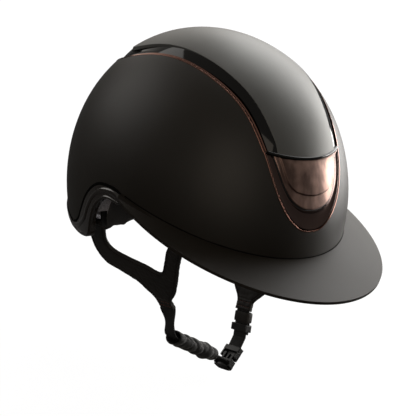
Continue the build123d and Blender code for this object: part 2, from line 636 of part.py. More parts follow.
def band(start, length, wall, width, shift=0.0):
    """A closed band round both layers of the left webbing, moved by shift towards the front."""
    outer = (layers[0] - FIT - wall, layers[1] + FIT + wall)
    inner = (layers[0] - FIT, layers[1] + FIT)
    ring = block((start, start + length), outer, (-width / 2 - shift, width / 2 - shift))
    return run_place * (ring - block((start, start + length), inner, (-half_width - FIT, half_width + FIT)))


keeper_band = band(KEEPER_START, KEEPER_LENGTH, KEEPER_WALL, WEBBING_WIDTH + 2 * (FIT + KEEPER_WALL))
strap_adjuster = band(ADJUSTER_START, ADJUSTER_LENGTH, ADJUSTER_WALL, ADJUSTER_WIDTH, ADJUSTER_SHIFT)

# ---- files ----
pieces = {
    "outer_shell": outer_shell,
    "opening_rim": opening_rim,
    "crown_carrier": crown_carrier,
    "bezel_pinstripe": bezel_pinstripe,
    "crown_bezel": crown_bezel,
    "crown_panel": crown_panel,
    "plate_frame": plate_frame,
    "front_plate": front_plate,
    "intake_grille": intake_grille,
    "brim": brim,
    "brim_lining": brim_lining,
    "edge_trim": edge_trim,
    "foam_liner": foam_liner,
    "crown_pad": crown_pad,
    "brow_pad": brow_pad,
    "nape_pad": nape_pad,
    "right_side_pad": right_side_pad,
    "left_side_pad": left_side_pad,
    "liner_dots": liner_dots,
    "chin_sleeve": chin_sleeve,
    "right_webbing": right_webbing,
    "left_webbing": left_webbing,
    "webbing_tail": webbing_tail,
    "keeper_band": keeper_band,
    "strap_adjuster": strap_adjuster,
    "buckle_tongue": buckle_tongue,
    "buckle_socket": buckle_socket,
    "socket_floor": socket_floor,
    "socket_rail_front": socket_rail(-1),
    "socket_rail_rear": socket_rail(1),
    "prong_front": prong(1),
    "prong_rear": prong(-1),
}
rivets = []
for side_name, (side, lean) in sides.items():
    pieces[f"{side_name}_y_strap"] = y_strap(side, lean)
    pieces[f"{side_name}_strap_tab"] = strap_tab(side, lean)
    for arm_name, arm in arms.items():
        pieces[f"{side_name}_{arm_name}_hanger"] = hanger(side, arm)
        rivets.append(rivet(side, arm))
pieces["hanger_rivets"] = Compound(rivets)

os.makedirs("parts", exist_ok=True)
for name, piece in pieces.items():
    export_step(piece, f"parts/{name}.step")
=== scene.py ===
# %% [markdown]
# # A riding helmet, dressed piece by piece
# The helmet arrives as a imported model: every solid is already in its place, in metres, and hangs on the
# body that it moves with. This lesson gives each solid its real surface. Hard parts keep their shape and
# get a smooth skin and a finish; soft parts are made again as cloth, webbing and padding.

# %% Load the frame
import json
import math
import bmesh
import bpy
import numpy as np
from mathutils import Matrix, Vector, noise
from mathutils.bvhtree import BVHTree


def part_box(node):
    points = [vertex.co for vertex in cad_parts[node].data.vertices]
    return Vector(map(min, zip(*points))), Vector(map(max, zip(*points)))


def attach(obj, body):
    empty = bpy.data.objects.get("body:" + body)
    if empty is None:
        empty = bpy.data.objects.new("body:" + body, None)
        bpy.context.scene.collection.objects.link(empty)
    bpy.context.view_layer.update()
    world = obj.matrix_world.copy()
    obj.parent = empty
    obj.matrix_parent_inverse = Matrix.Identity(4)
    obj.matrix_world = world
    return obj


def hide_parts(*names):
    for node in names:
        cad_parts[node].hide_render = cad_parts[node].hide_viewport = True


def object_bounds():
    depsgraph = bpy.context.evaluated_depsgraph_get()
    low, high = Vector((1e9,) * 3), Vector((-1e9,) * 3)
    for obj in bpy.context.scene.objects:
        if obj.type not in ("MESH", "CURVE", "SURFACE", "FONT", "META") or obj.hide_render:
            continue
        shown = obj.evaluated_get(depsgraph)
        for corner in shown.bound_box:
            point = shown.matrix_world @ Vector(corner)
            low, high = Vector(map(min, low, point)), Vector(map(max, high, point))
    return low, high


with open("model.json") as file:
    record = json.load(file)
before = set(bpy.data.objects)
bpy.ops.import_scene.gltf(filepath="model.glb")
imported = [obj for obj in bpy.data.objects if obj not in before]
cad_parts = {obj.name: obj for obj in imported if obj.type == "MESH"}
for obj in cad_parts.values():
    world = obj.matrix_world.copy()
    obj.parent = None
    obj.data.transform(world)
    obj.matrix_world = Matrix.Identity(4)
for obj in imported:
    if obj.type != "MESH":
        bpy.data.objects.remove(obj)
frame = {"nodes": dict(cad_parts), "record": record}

cad_low, cad_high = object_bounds()
print("CAD box from", [round(v, 3) for v in cad_low], "to", [round(v, 3) for v in cad_high])

# %% [markdown]
# ## Camera, floor and lights
# The helmet is seen from its front right, a little above. The camera is built from three directions: its
# right, its up, and the way back from the helmet to the lens, so no angle has to be converted. Gloss black
# and matt charcoal both need a room that is mostly dark with a few wide soft lights, or they turn grey; a
# bright room is only shown to the camera itself.

# %% Camera
HEADING = math.radians(-45.6496)
RISE = math.radians(26.4556)
TILT = math.radians(18.7363)
LENS_MM = 163.52
CAMERA_PLACE = Vector((-1.0438, -1.0245, 0.7057))

backward = Vector((math.sin(HEADING) * math.cos(RISE), -math.cos(HEADING) * math.cos(RISE), math.sin(RISE)))
level_right = Vector((math.cos(HEADING), math.sin(HEADING), 0))
level_up = backward.cross(level_right)
camera_right = math.cos(TILT) * level_right + math.sin(TILT) * level_up
camera_up = -math.sin(TILT) * level_right + math.cos(TILT) * level_up
turn = Matrix((camera_right, camera_up, backward)).transposed()
camera_data = bpy.data.cameras.new("camera")
camera_data.lens = LENS_MM
camera_data.sensor_width = 36
camera_data.clip_end = 30
camera = bpy.data.objects.new("camera", camera_data)
camera.matrix_world = Matrix.Translation(CAMERA_PLACE) @ turn.to_4x4()
bpy.context.scene.collection.objects.link(camera)
bpy.context.scene.camera = camera
bpy.context.scene.view_settings.view_transform = "Standard"
print("camera lens", LENS_MM, "mm")

# %% Lights
AIM = Vector((0, -0.01, 0.0))


def soft_light(name, place, size, power, colour=(1, 1, 1)):
    """A square soft light that faces the helmet."""
    data = bpy.data.lights.new(name, "AREA")
    data.size = size
    data.energy = power
    data.color = colour
    lamp = bpy.data.objects.new(name, data)
    lamp.location = place
    lamp.rotation_euler = (AIM - Vector(place)).to_track_quat("-Z", "Y").to_euler()
    bpy.context.scene.collection.objects.link(lamp)


WARM = (1.0, 0.97, 0.93)
soft_light("back_light", (1.25, 0.75, 1.15), 1.7, 34)
soft_light("left_light", (-0.75, 1.75, 0.35), 1.1, 5, WARM)
soft_light("right_light", (1.75, -0.75, 0.4), 0.5, 7, WARM)
soft_light("flank_light", (1.7, -0.1, 0.1), 1.3, 38, (1.0, 0.98, 0.96))
soft_light("front_fill", (-1.3, -0.9, 0.9), 1.2, 4.5, (1.0, 0.88, 0.74))

print("five soft lights")

# %% [markdown]
# ## Writing finishes as sums
# A finish is easier to read as an expression than as a drawing of nodes. `Wire` stands for the output of a
# node, and adding or multiplying two wires adds the Math node that does it. `Finish` makes any other node
# in one call.

# %% Wires
class Wire:
    """The output of a shader node, which can be used in sums."""

    def __init__(self, finish, socket):
        self.finish = finish
        self.socket = socket

    def join(self, operation, first, second):
        return self.finish.node("ShaderNodeMath", {"operation": operation}, first, second)

    def __add__(self, other):
        return self.join("ADD", self, other)

    def __radd__(self, other):
        return self.join("ADD", other, self)

    def __sub__(self, other):
        return self.join("SUBTRACT", self, other)

    def __rsub__(self, other):
        return self.join("SUBTRACT", other, self)

    def __mul__(self, other):
        return self.join("MULTIPLY", self, other)

    def __rmul__(self, other):
        return self.join("MULTIPLY", other, self)

    def step(self, low, high):
        """0 below low, 1 above high, and a smooth rise between them."""
        return self.finish.node("ShaderNodeMapRange", {"interpolation_type": "SMOOTHSTEP"}, self, low, high)


# %% Finishes
class Finish:
    """A material made of one Principled shader and the nodes that feed it."""

    def __init__(self, name):
        self.material = bpy.data.materials.new(name)
        self.material.use_nodes = True
        self.tree = self.material.node_tree
        self.shader = self.tree.nodes["Principled BSDF"]

    def fill(self, socket, value):
        if isinstance(value, Wire):
            self.tree.links.new(value.socket, socket)
        elif isinstance(value, tuple) and len(value) == 3 and socket.type == "RGBA":
            socket.default_value = (*value, 1)
        else:
            socket.default_value = value

    def node(self, kind, settings, *values, output=0, **named):
        made = self.tree.nodes.new(kind)
        for key, value in settings.items():
            setattr(made, key, value)
        for socket, value in zip(made.inputs, values):
            self.fill(socket, value)
        for key, value in named.items():
            self.fill(made.inputs[key.replace("_", " ")], value)
        return Wire(self, made.outputs[output])

    def place(self, scale=(1, 1, 1)):
        """The point on the piece, stretched."""
        spot = self.node("ShaderNodeTexCoord", {}, output="Object")
        return self.node("ShaderNodeMapping", {}, spot, (0, 0, 0), (0, 0, 0), scale)

    def cloth_place(self):
        """The point across and along a band, from its own map."""
        return self.node("ShaderNodeUVMap", {"uv_map": "band"})

    def cells(self, feature, place, scale, randomness=1.0):
        return self.node("ShaderNodeTexVoronoi", {"feature": feature}, Vector=place, Scale=scale,
                         Randomness=randomness)

    def waves(self, direction, place, scale, distortion=0.0):
        return self.node("ShaderNodeTexWave", {"bands_direction": direction}, Vector=place, Scale=scale,
                         Distortion=distortion)

    def speckle(self, place, scale, detail=3.0, roughness=0.55):
        return self.node("ShaderNodeTexNoise", {}, Vector=place, Scale=scale, Detail=detail,
                         Roughness=roughness)

    def blend_colour(self, share, first, second):
        colours = self.tree.nodes.new("ShaderNodeMix")
        colours.data_type = "RGBA"
        self.fill(colours.inputs[0], share)
        self.fill(colours.inputs[6], first)
        self.fill(colours.inputs[7], second)
        return Wire(self, colours.outputs[2])

    def relief(self, height, strength, depth):
        return self.node("ShaderNodeBump", {}, Height=height, Strength=strength, Distance=depth)

    def set(self, **sockets):
        for key, value in sockets.items():
            self.fill(self.shader.inputs[key.replace("_", " ")], value)
        return self.material


print("finish language ready")

# %% [markdown]
# The same language draws the room's light. The room glows on one side, towards the back right of the
# helmet, and that glow gives the coated shell its pale rim. The camera itself sees plain white behind the
# helmet.

# %% Room
class Room(Finish):
    """The nodes of the world, in place of a material's."""

    def __init__(self, name):
        world = bpy.data.worlds.new(name)
        world.use_nodes = True
        bpy.context.scene.world = world
        self.tree = world.node_tree
        self.tree.nodes.clear()


room = Room("studio")
glow_side = tuple(Vector((0.8, 0.6, -0.05)).normalized())
way = room.node("ShaderNodeTexCoord", {}, output="Generated")
toward = room.node("ShaderNodeVectorMath", {"operation": "DOT_PRODUCT"}, way, glow_side, output="Value")
glow = room.node("ShaderNodeMapRange", {"interpolation_type": "SMOOTHSTEP"}, toward, 0.45, 1.0, 0.2, 1.7)
lit = room.node("ShaderNodeBackground", {}, Color=(1, 0.95, 0.88), Strength=glow)
white = room.node("ShaderNodeBackground", {}, Color=(1, 1, 1))
seen = room.node("ShaderNodeLightPath", {}, output="Is Camera Ray")
either = room.node("ShaderNodeMixShader", {}, seen, lit, white)
room_end = room.tree.nodes.new("ShaderNodeOutputWorld")
room.tree.links.new(either.socket, room_end.inputs["Surface"])
print("room lit")

# %% [markdown]
# ## Coated and moulded plastics
# The shell and brim carry a soft-touch coating: almost black, warm, and covered with a very fine grain that
# breaks up reflections. Gloss parts are the same plastic under a clear coat. One function makes them all: a
# slow noise shifts the colour and roughness a little, and a fine noise makes the grain.

# %% Plastics
def plastic(name, dark, light, roughness, grain=2600.0, depth=0.00003, metallic=0.0, coat=0.0, specular=0.5):
    """A hard surface with slow colour drift and a fine grain."""
    finish = Finish(name)
    drift = finish.speckle(finish.place(), 14.0)
    fine = finish.speckle(finish.place(), grain, 2.0)
    colour = finish.blend_colour(drift.step(0.3, 0.7), dark, light)
    return finish.set(Base_Color=colour, Roughness=roughness + 0.08 * (drift - 0.5) + 0.05 * (fine - 0.5),
                      Metallic=metallic, Coat_Weight=coat, Coat_Roughness=0.06, Specular_IOR_Level=specular,
                      Normal=finish.relief(fine, 0.5, depth))


POLISHED = dict(grain=900.0, depth=0.000002)
shell_finish = plastic("shell_coating", (0.0088, 0.0064, 0.0038), (0.0125, 0.0095, 0.0062), 0.46,
                       specular=0.38)
brim_finish = plastic("brim_coating", (0.0105, 0.0078, 0.005), (0.0145, 0.0113, 0.008), 0.55, specular=0.24)
panel_finish = plastic("crown_lacquer", (0.085, 0.085, 0.081), (0.105, 0.105, 0.1), 0.5, grain=3200.0,
                       depth=0.00002, metallic=0.55, specular=0.6)
bezel_finish = plastic("bezel_gloss", (0.0014, 0.001, 0.0008), (0.0022, 0.0018, 0.0015), 0.06, specular=0.35,
                       **POLISHED)
rim_finish = plastic("rose_metal", (0.24, 0.12, 0.09), (0.31, 0.165, 0.13), 0.13, depth=0.000001,
                     metallic=1.0)
frame_finish = plastic("frame_bronze", (0.045, 0.026, 0.022), (0.075, 0.045, 0.038), 0.14, metallic=0.9,
                       coat=0.3, **POLISHED)
trim_finish = plastic("trim_gloss", (0.008, 0.005, 0.0032), (0.018, 0.012, 0.0085), 0.14, grain=900.0,
                      depth=0.000003, coat=0.6, specular=0.6)
inner_finish = plastic("dark_plastic", (0.004, 0.0038, 0.0036), (0.008, 0.0075, 0.007), 0.5)
buckle_finish = plastic("buckle_plastic", (0.006, 0.006, 0.006), (0.011, 0.011, 0.011), 0.4, depth=0.00004)
adjuster_finish = plastic("adjuster_plastic", (0.014, 0.014, 0.0145), (0.022, 0.022, 0.023), 0.42,
                          depth=0.00004)
bracket_finish = plastic("bracket_metal", (0.03, 0.03, 0.032), (0.05, 0.05, 0.052), 0.4, metallic=0.8)
print("plastics and metals made")

# %% [markdown]
# The front plate is brushed: its scratches run up and down, so its noise is squeezed from side to side,
# which draws it out into upright lines. The lines lift the colour and cut tiny grooves. Broad upright bands
# of lighter and darker bronze are a painted reflection, standing in for the streaked highlight of brushed
# metal.

# %% Brushed plate
plate = Finish("plate_bronze")
lines = plate.speckle(plate.place((3200, 3200, 60)), 1.0, 3.0, 0.6)
cloud = plate.speckle(plate.place(), 40.0)
# Painted reflection: broad upright bands of lighter and darker bronze in the base colour, in place of the
# brushed metal's streaked highlight.
painted_reflection_bands = plate.speckle(plate.place((85, 85, 3)), 1.0, 2.0).step(0.35, 0.65)
bronze = plate.blend_colour(lines * 0.4 + painted_reflection_bands * 0.6, (0.055, 0.034, 0.028), (0.31, 0.2, 0.165))
plate_finish = plate.set(Base_Color=bronze, Roughness=0.24 + 0.14 * lines + 0.05 * cloud, Metallic=0.95,
                         Normal=plate.relief(lines, 0.35, 0.00004))
print("brushed plate made")

# %% [markdown]
# The liner is moulded from expanded beads. Their outlines show as a cell pattern with shallow joints, so a
# Voronoi texture gives both the colour of the joints and their depth.

# %% Bead foam
foam = Finish("bead_foam")
bead_body = foam.cells("DISTANCE_TO_EDGE", foam.place(), 420.0).step(0.0, 0.12)
foam_cloud = foam.speckle(foam.place(), 60.0)
lavender = foam.blend_colour(bead_body * (0.7 + 0.3 * foam_cloud), (0.34, 0.33, 0.36), (0.66, 0.64, 0.69))
foam_finish = foam.set(Base_Color=lavender, Roughness=0.75 + 0.1 * foam_cloud,
                       Normal=foam.relief(bead_body, 0.5, 0.0002))
print("bead foam made")

# %% [markdown]
# ## A smooth skin for the hard parts
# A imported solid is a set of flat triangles. Copied and merged, it can be shaded smooth, but long thin
# triangles still catch the light in streaks. Most of these solids lie on an egg, whose outward direction is
# known at every point, so the copy is given exactly that direction wherever a face lies on the egg.

# %% Eggs
WIDEST = -0.008
EGG_HALF_WIDTH = 0.107
EGG_FRONT = 0.1289
EGG_REAR = 0.150
EGG_HEIGHT = 0.1396
CREASE = math.radians(32)
NEAR_EGG = math.cos(math.radians(14))
SHELL_EGG = dict(half_width=EGG_HALF_WIDTH, front=EGG_FRONT, rear=EGG_REAR, height=EGG_HEIGHT)
BEZEL_EGG = dict(half_width=0.0888, front=EGG_FRONT, rear=EGG_REAR, height=0.1476)


def outward(point, half_width, front, rear, height):
    """The egg's outward direction at the level of a point near it."""
    length = rear if point.y > 0 else front
    way = Vector((point.x / half_width ** 2, point.y / length ** 2, (point.z - WIDEST) / height ** 2))
    return way.normalized()


print("shell's egg", 2 * EGG_HALF_WIDTH, "m wide and", round(EGG_FRONT + EGG_REAR, 4), "m long")


# %% Pieces and their bodies
def link(name, mesh):
    piece = bpy.data.objects.new(name, mesh)
    bpy.context.scene.collection.objects.link(piece)
    return piece


def dress(name, mesh, finish, slot, body, *nodes):
    """A visible piece with one finish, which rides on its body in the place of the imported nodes."""
    mesh.materials.clear()
    mesh.materials.append(finish)
    piece = link(name, mesh)
    if nodes:
        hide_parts(*nodes)
    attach(piece, body)
    return piece


def faced_outward(mesh, merge=0.0):
    """The mesh with every face turned outward, after points closer than merge are joined."""
    work = bmesh.new()
    work.from_mesh(mesh)
    if merge:
        bmesh.ops.remove_doubles(work, verts=work.verts, dist=merge)
    bmesh.ops.recalc_face_normals(work, faces=work.faces)
    work.to_mesh(mesh)
    work.free()


def merged_copy(*nodes):
    """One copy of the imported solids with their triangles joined."""
    mesh = frame["nodes"][nodes[0]].data.copy()
    work = bmesh.new()
    for node in nodes:
        work.from_mesh(frame["nodes"][node].data)
    bmesh.ops.remove_doubles(work, verts=work.verts, dist=1e-6)
    work.to_mesh(mesh)
    work.free()
    mesh.materials.clear()
    return mesh


def body_of(node):
    return next(body for body, nodes in frame["record"]["behaviour"]["bodies"].items() if node in nodes)


def slot_of(node):
    return next(part["material_slot"] for part in frame["record"]["subparts"] if part["node"] == node)


# %% Skin helper
def baked(piece):
    """A plain mesh of a piece with its modifiers applied. The piece itself is removed."""
    shown = piece.evaluated_get(bpy.context.evaluated_depsgraph_get())
    mesh = bpy.data.meshes.new_from_object(shown)
    bpy.data.objects.remove(piece)
    return mesh


def soften(mesh, width):
    """The mesh with its sharp edges rounded, because real moulded edges catch a line of light."""
    piece = link("softened", mesh)
    edge = piece.modifiers.new("edge", "BEVEL")
    edge.width = width
    edge.segments = 2
    edge.limit_method = "ANGLE"
    edge.angle_limit = math.radians(40)
    edge.use_clamp_overlap = True
    level = piece.modifiers.new("level", "WEIGHTED_NORMAL")
    level.keep_sharp = True
    return baked(piece)


def skin(node, finish, egg=None, edge=0.0, also=()):
    """A smooth copy of a hard part, which takes its place and that of the solids in also.
    egg names the egg that its faces lie on."""
    mesh = merged_copy(node, *also)
    mesh.shade_smooth()
    mesh.set_sharp_from_angle(angle=CREASE)
    if edge:
        mesh = soften(mesh, edge)
    if egg:
        smooth = [Vector(corner.vector) for corner in mesh.corner_normals]
        for face in mesh.polygons:
            for index in face.loop_indices:
                true = outward(mesh.vertices[mesh.loops[index].vertex_index].co, **egg)
                lie = face.normal.dot(true)
                if abs(lie) > NEAR_EGG:
                    smooth[index] = true if lie > 0 else -true
        mesh.normals_split_custom_set([tuple(normal) for normal in smooth])
    dress(node + "_skin", mesh, finish, slot_of(node), body_of(node), node, *also)


# %% Hard parts on the helmet
egg_parts = {"outer_shell": (shell_finish, 0.0007), "opening_rim": (rim_finish, 0.0002),
             "bezel_pinstripe": (rim_finish, 0.0002), "crown_panel": (panel_finish, 0.0009),
             "intake_grille": (inner_finish, 0), "crown_carrier": (inner_finish, 0),
             "edge_trim": (trim_finish, 0.0012), "foam_liner": (foam_finish, 0)}
for node, (finish, edge) in egg_parts.items():
    skin(node, finish, SHELL_EGG, edge)
skin("crown_bezel", bezel_finish, BEZEL_EGG, 0.0008)
other_parts = {"brim": (brim_finish, 0.0009), "brim_lining": (inner_finish, 0),
               "buckle_tongue": (buckle_finish, 0.0006), "prong_front": (buckle_finish, 0.0004),
               "prong_rear": (buckle_finish, 0.0004), "strap_adjuster": (adjuster_finish, 0.0007),
               "hanger_rivets": (bracket_finish, 0)}
for place in ("right_front", "right_rear", "left_front", "left_rear"):
    other_parts[place + "_hanger"] = (bracket_finish, 0.0004)
for node, (finish, edge) in other_parts.items():
    skin(node, finish, None, edge)
skin("buckle_socket", buckle_finish, None, 0.0005, ("socket_floor", "socket_rail_front", "socket_rail_rear"))
print(len(egg_parts) + len(other_parts) + 2, "hard parts have their skins")

# %% [markdown]
# ## Front plate, its frame and the lip above
# These three are pressed and polished shapes. The plate and its frame, whose depth changes across them, are
# each made from their outline seen from the front: filled, remeshed into small even faces, given a depth at
# every point, and laid on the egg; the lip is a tube swept along the egg.

# %% Plates from outlines
def smooth_run(points, steps=10):
    """A smooth line through the points."""
    points = [Vector(point) for point in points]
    run = []
    for index in range(len(points) - 1):
        before, start = points[max(index - 1, 0)], points[index]
        end, after = points[index + 1], points[min(index + 2, len(points) - 1)]
        for step in range(steps):
            t = step / steps
            bend = 2 * before - 5 * start + 4 * end - after
            twist = 3 * start - before - 3 * end + after
            run.append(0.5 * (2 * start + (end - before) * t + bend * t ** 2 + twist * t ** 3))
    return run + [points[-1]]


def even_faces(piece, voxel):
    remesh = piece.modifiers.new("remesh", "REMESH")
    remesh.mode = "VOXEL"
    remesh.voxel_size = voxel


def even_plate(outline, thickness, voxel):
    """A plate of this outline in small even faces, all in millimetres."""
    mesh = bpy.data.meshes.new("plate")
    work = bmesh.new()
    rim = [work.verts.new((point.x, point.y, -thickness / 2)) for point in outline]
    face = work.faces.new(rim)
    bmesh.ops.triangulate(work, faces=[face])
    lifted = bmesh.ops.extrude_face_region(work, geom=work.faces[:])
    top = [corner for corner in lifted["geom"] if isinstance(corner, bmesh.types.BMVert)]
    bmesh.ops.translate(work, vec=(0, 0, thickness), verts=top)
    bmesh.ops.recalc_face_normals(work, faces=work.faces)
    work.to_mesh(mesh)
    work.free()
    piece = link("plate", mesh)
    even_faces(piece, voxel)
    return baked(piece)


# %% Points as arrays
def read_points(mesh):
    flat = np.empty(len(mesh.vertices) * 3)
    mesh.vertices.foreach_get("co", flat)
    return flat.reshape(-1, 3)


def write_points(mesh, points):
    mesh.vertices.foreach_set("co", np.asarray(points).ravel())
    mesh.update()


def edge_distance(points, outline):
    """How far each point lies from the outline."""
    line = np.array([(point.x, point.y) for point in outline])
    nearest = np.full(len(points), 1e9)
    for start, end in zip(line, np.roll(line, -1, axis=0)):
        run = end - start
        length = max(run @ run, 1e-12)
        share = np.clip(((points[:, :2] - start) @ run) / length, 0, 1)
        gap = points[:, :2] - start - share[:, None] * run
        nearest = np.minimum(nearest, np.hypot(gap[:, 0], gap[:, 1]))
    return nearest


def ripple(points, scale, seed):
    """A smooth random height at each point."""
    return np.array([noise.noise(Vector((x * scale[0], y * scale[1], seed))) for x, y in points[:, :2]])


# %% Laying a plate on the egg
BLANK_THICK, FINE_VOXEL = 2.0, 0.5
EDGE_RADIUS, EDGE_DROP = 0.7, 0.55


def on_front(x, level, offset):
    """The egg's front at this place, grown by offset. All in millimetres."""
    wide, deep, tall = (1000 * size + offset for size in (EGG_HALF_WIDTH, EGG_FRONT, EGG_HEIGHT))
    inside = np.clip(1 - (x / wide) ** 2 - ((level - 1000 * WIDEST) / tall) ** 2, 0, 1)
    return -deep * np.sqrt(inside)


def mirrored(side):
    """A closed outline from its right-hand side, given from the top down to the middle."""
    run = smooth_run(side)
    return run + [Vector((-point.x, point.y)) for point in reversed(run[:-1])]


def laid_plate(name, outline, depth, back, finish, node):
    """A plate on the egg's front. depth gives the face's offset from the egg at (x, level)."""
    mesh = even_plate(outline, BLANK_THICK, FINE_VOXEL)
    points = read_points(mesh)
    gap = edge_distance(points, outline)
    x, level, share = points[:, 0], points[:, 1], points[:, 2] / BLANK_THICK + 0.5
    face = depth(x, level) - EDGE_DROP * (1 - np.sqrt(np.clip(gap / EDGE_RADIUS, 0, 1)))
    offset = back + np.clip(share, 0, 1) * (face - back)
    write_points(mesh, np.column_stack([x, on_front(x, level, offset), level]) / 1000)
    faced_outward(mesh)
    mesh.shade_smooth()
    dress(name, mesh, finish, slot_of(node), "helmet", node)
    print(node, "faces", len(mesh.polygons))


# %% Front plate
STEP_X = (0, 9, 17.2, 21.5, 24.5, 27.3, 29.6)
STEP_LEVEL = (58.4, 59.2, 61.0, 63.6, 67.0, 75.0, 84.0)
STEP_BLEND = 1.3
UPPER_FACE, HOLLOW_FACE, HOLLOW_RISE, HOLLOW_RUN = 0.45, -0.95, 0.75, 9.0
PLATE_TOP = 83.3
plate_side = [(33.4, PLATE_TOP), (30.2, 72.0), (26.6, 62.7), (20.2, 54.0), (10.4, 48.8), (0.0, 47.4)]


def plate_depth(x, level):
    """A flush upper field, a soft U-shaped step, and a hollow band below it."""
    steep = np.gradient(np.array(STEP_LEVEL), np.array(STEP_X))
    lean = np.interp(np.abs(x), STEP_X, steep)
    past = (level - np.interp(np.abs(x), STEP_X, STEP_LEVEL)) / np.sqrt(1 + lean ** 2)
    rise = np.clip(past / STEP_BLEND + 0.5, 0, 1)
    rise = rise * rise * (3 - 2 * rise)
    hollow = HOLLOW_FACE + HOLLOW_RISE * np.clip(-past / HOLLOW_RUN, 0, 1)
    return hollow + (UPPER_FACE - hollow) * rise


laid_plate("front_plate_pressing", mirrored(plate_side), plate_depth, -1.4, plate_finish, "front_plate")

# %% Intake frame
OUTER_SINK, SCOOP_TOP, SCOOP_MORE = 0.15, 1.5, 1.0
SCOOP_START, SCOOP_RUN = 62.0, 25.0
SCOOP_ARC, SCOOP_EASE = 0.62, 1.3
TURN_UP, TURN_UP_START = 0.35, 0.85
outer_side = [(39.4, PLATE_TOP), (36.8, 70.2), (32.3, 56.7), (27.3, 47.5), (21.7, 40.7), (14.8, 35.4),
              (7.4, 32.5), (0.0, 31.6)]
inner_side = [(34.4, PLATE_TOP), (31.1, 71.8), (27.4, 62.3), (21.0, 53.4), (11.0, 47.8), (0.0, 46.4)]
outer_line, inner_line = mirrored(outer_side), mirrored(inner_side)


def frame_depth(x, level):
    """Falls away from its outer edge, deeper towards its tip, then turns up again at the gap."""
    spots = np.column_stack([x, level])
    from_outside, from_inside = edge_distance(spots, outer_line), edge_distance(spots, inner_line)
    share = from_outside / np.maximum(from_outside + from_inside, 1e-6)
    scoop = SCOOP_TOP + SCOOP_MORE * np.clip((SCOOP_START - level) / SCOOP_RUN, 0, 1)
    turned = TURN_UP * np.clip(share - TURN_UP_START, 0, 1) / (1 - TURN_UP_START)
    return turned - OUTER_SINK - scoop * np.sin(share * math.pi * SCOOP_ARC) ** SCOOP_EASE


frame_line = outer_line + inner_line[::-1]
laid_plate("plate_frame_moulding", frame_line, frame_depth, -3.2, frame_finish, "plate_frame")

# %% Sweeping a section along a line
SWEPT_CREASE = math.radians(60)


def ahead_of(route, index):
    """The way the route runs at one of its points, not yet of length one."""
    return route[min(index + 1, len(route) - 1)] - route[max(index - 1, 0)]


def ringed_mesh(name, points, spots, loop, closed):
    """A tube from points that lie in rings of loop points each, with the spots as its map."""
    count, faces = len(points) // loop, []
    for row in range(count if closed else count - 1):
        low, high = row * loop, (row + 1) % count * loop
        faces += [(low + k, low + (k + 1) % loop, high + (k + 1) % loop, high + k) for k in range(loop)]
    if not closed:
        faces += [tuple(range(loop))[::-1], tuple(range((count - 1) * loop, count * loop))]
    mesh = bpy.data.meshes.new(name)
    mesh.from_pydata(points, [], faces)
    map_layer = mesh.uv_layers.new(name="band")
    for corner in mesh.loops:
        map_layer.data[corner.index].uv = spots[corner.vertex_index]
    return mesh


def sweep(name, route, across, ring, closed=False):
    """A closed tube or band along a route. ring gives its section as (sideways, out) pairs."""
    points, spots, travelled = [], [], 0.0
    for index, place in enumerate(route):
        ahead = route[(index + 1) % len(route)] - route[index - 1] if closed else ahead_of(route, index)
        forward = ahead.normalized()
        sideways = (across[index] - forward * across[index].dot(forward)).normalized()
        outward_way = sideways.cross(forward)
        if index:
            travelled += (place - route[index - 1]).length
        for x, y in ring:
            points.append(place + sideways * x + outward_way * y)
            spots.append((x, travelled))
    mesh = ringed_mesh(name, points, spots, len(ring), closed)
    faced_outward(mesh)
    mesh.shade_smooth()
    mesh.set_sharp_from_angle(angle=SWEPT_CREASE)
    return mesh


def oval(wide, high, count=14):
    angles = [2 * math.pi * k / count for k in range(count)]
    return [(wide * math.cos(angle), high * math.sin(angle)) for angle in angles]


# %% Lip above the plate
LIP_LEVEL, LIP_HALF, LIP_LIFT, LIP_PROUD = 84.1, 38.0, 0.9, 0.35
lip_route = []
for x in np.linspace(-LIP_HALF, LIP_HALF, 61):
    level = LIP_LEVEL + LIP_LIFT * (x / LIP_HALF) ** 2
    lip_route.append(Vector((x, on_front(x, level, LIP_PROUD), level)) / 1000)
lip = sweep("panel_lip", lip_route, [Vector((0, 0, 1))] * len(lip_route), oval(0.0015, 0.0013))
dress("panel_lip", lip, bezel_finish, "bezel_gloss", "helmet")
print("lip made")

# %% [markdown]
# ## Edge trim beads
# The edge trim is a glossy moulded strip with a groove at the shell and two rounded ridges. The groove's
# shade is painted: a near-black matt bead lies in it. The ridges are tubes swept along lines that run between
# the shell's edge and the trim's lower edge, so they follow the ear notch.

# %% Lines on the trim
NOTCH_POINTS = 40
SHELL_LINE = [(-9.0, 4.5), (3.0, 4.5), (23.1, -3.5), (35.7, -21.2), (43.8, -50.7), (58.0, -64.5)]
TRIM_LINE = [(-9.0, -4.0), (8.4, -8.6), (19.1, -23.6), (21.0, -38.0), (21.8, -54.7), (33.0, -62.0),
             (58.0, -68.0)]
NAPE_Y, SHELL_NAPE, TRIM_NAPE = 132.6, -70.8, -74.4


def even_run(points, count):
    """A smooth run through the points, at even shares of its length."""
    run = smooth_run(points)
    length = np.cumsum([0] + [(b - a).length for a, b in zip(run, run[1:])])
    at = np.linspace(0, length[-1], count)
    return np.interp(at, length, [p.x for p in run]), np.interp(at, length, [p.y for p in run])


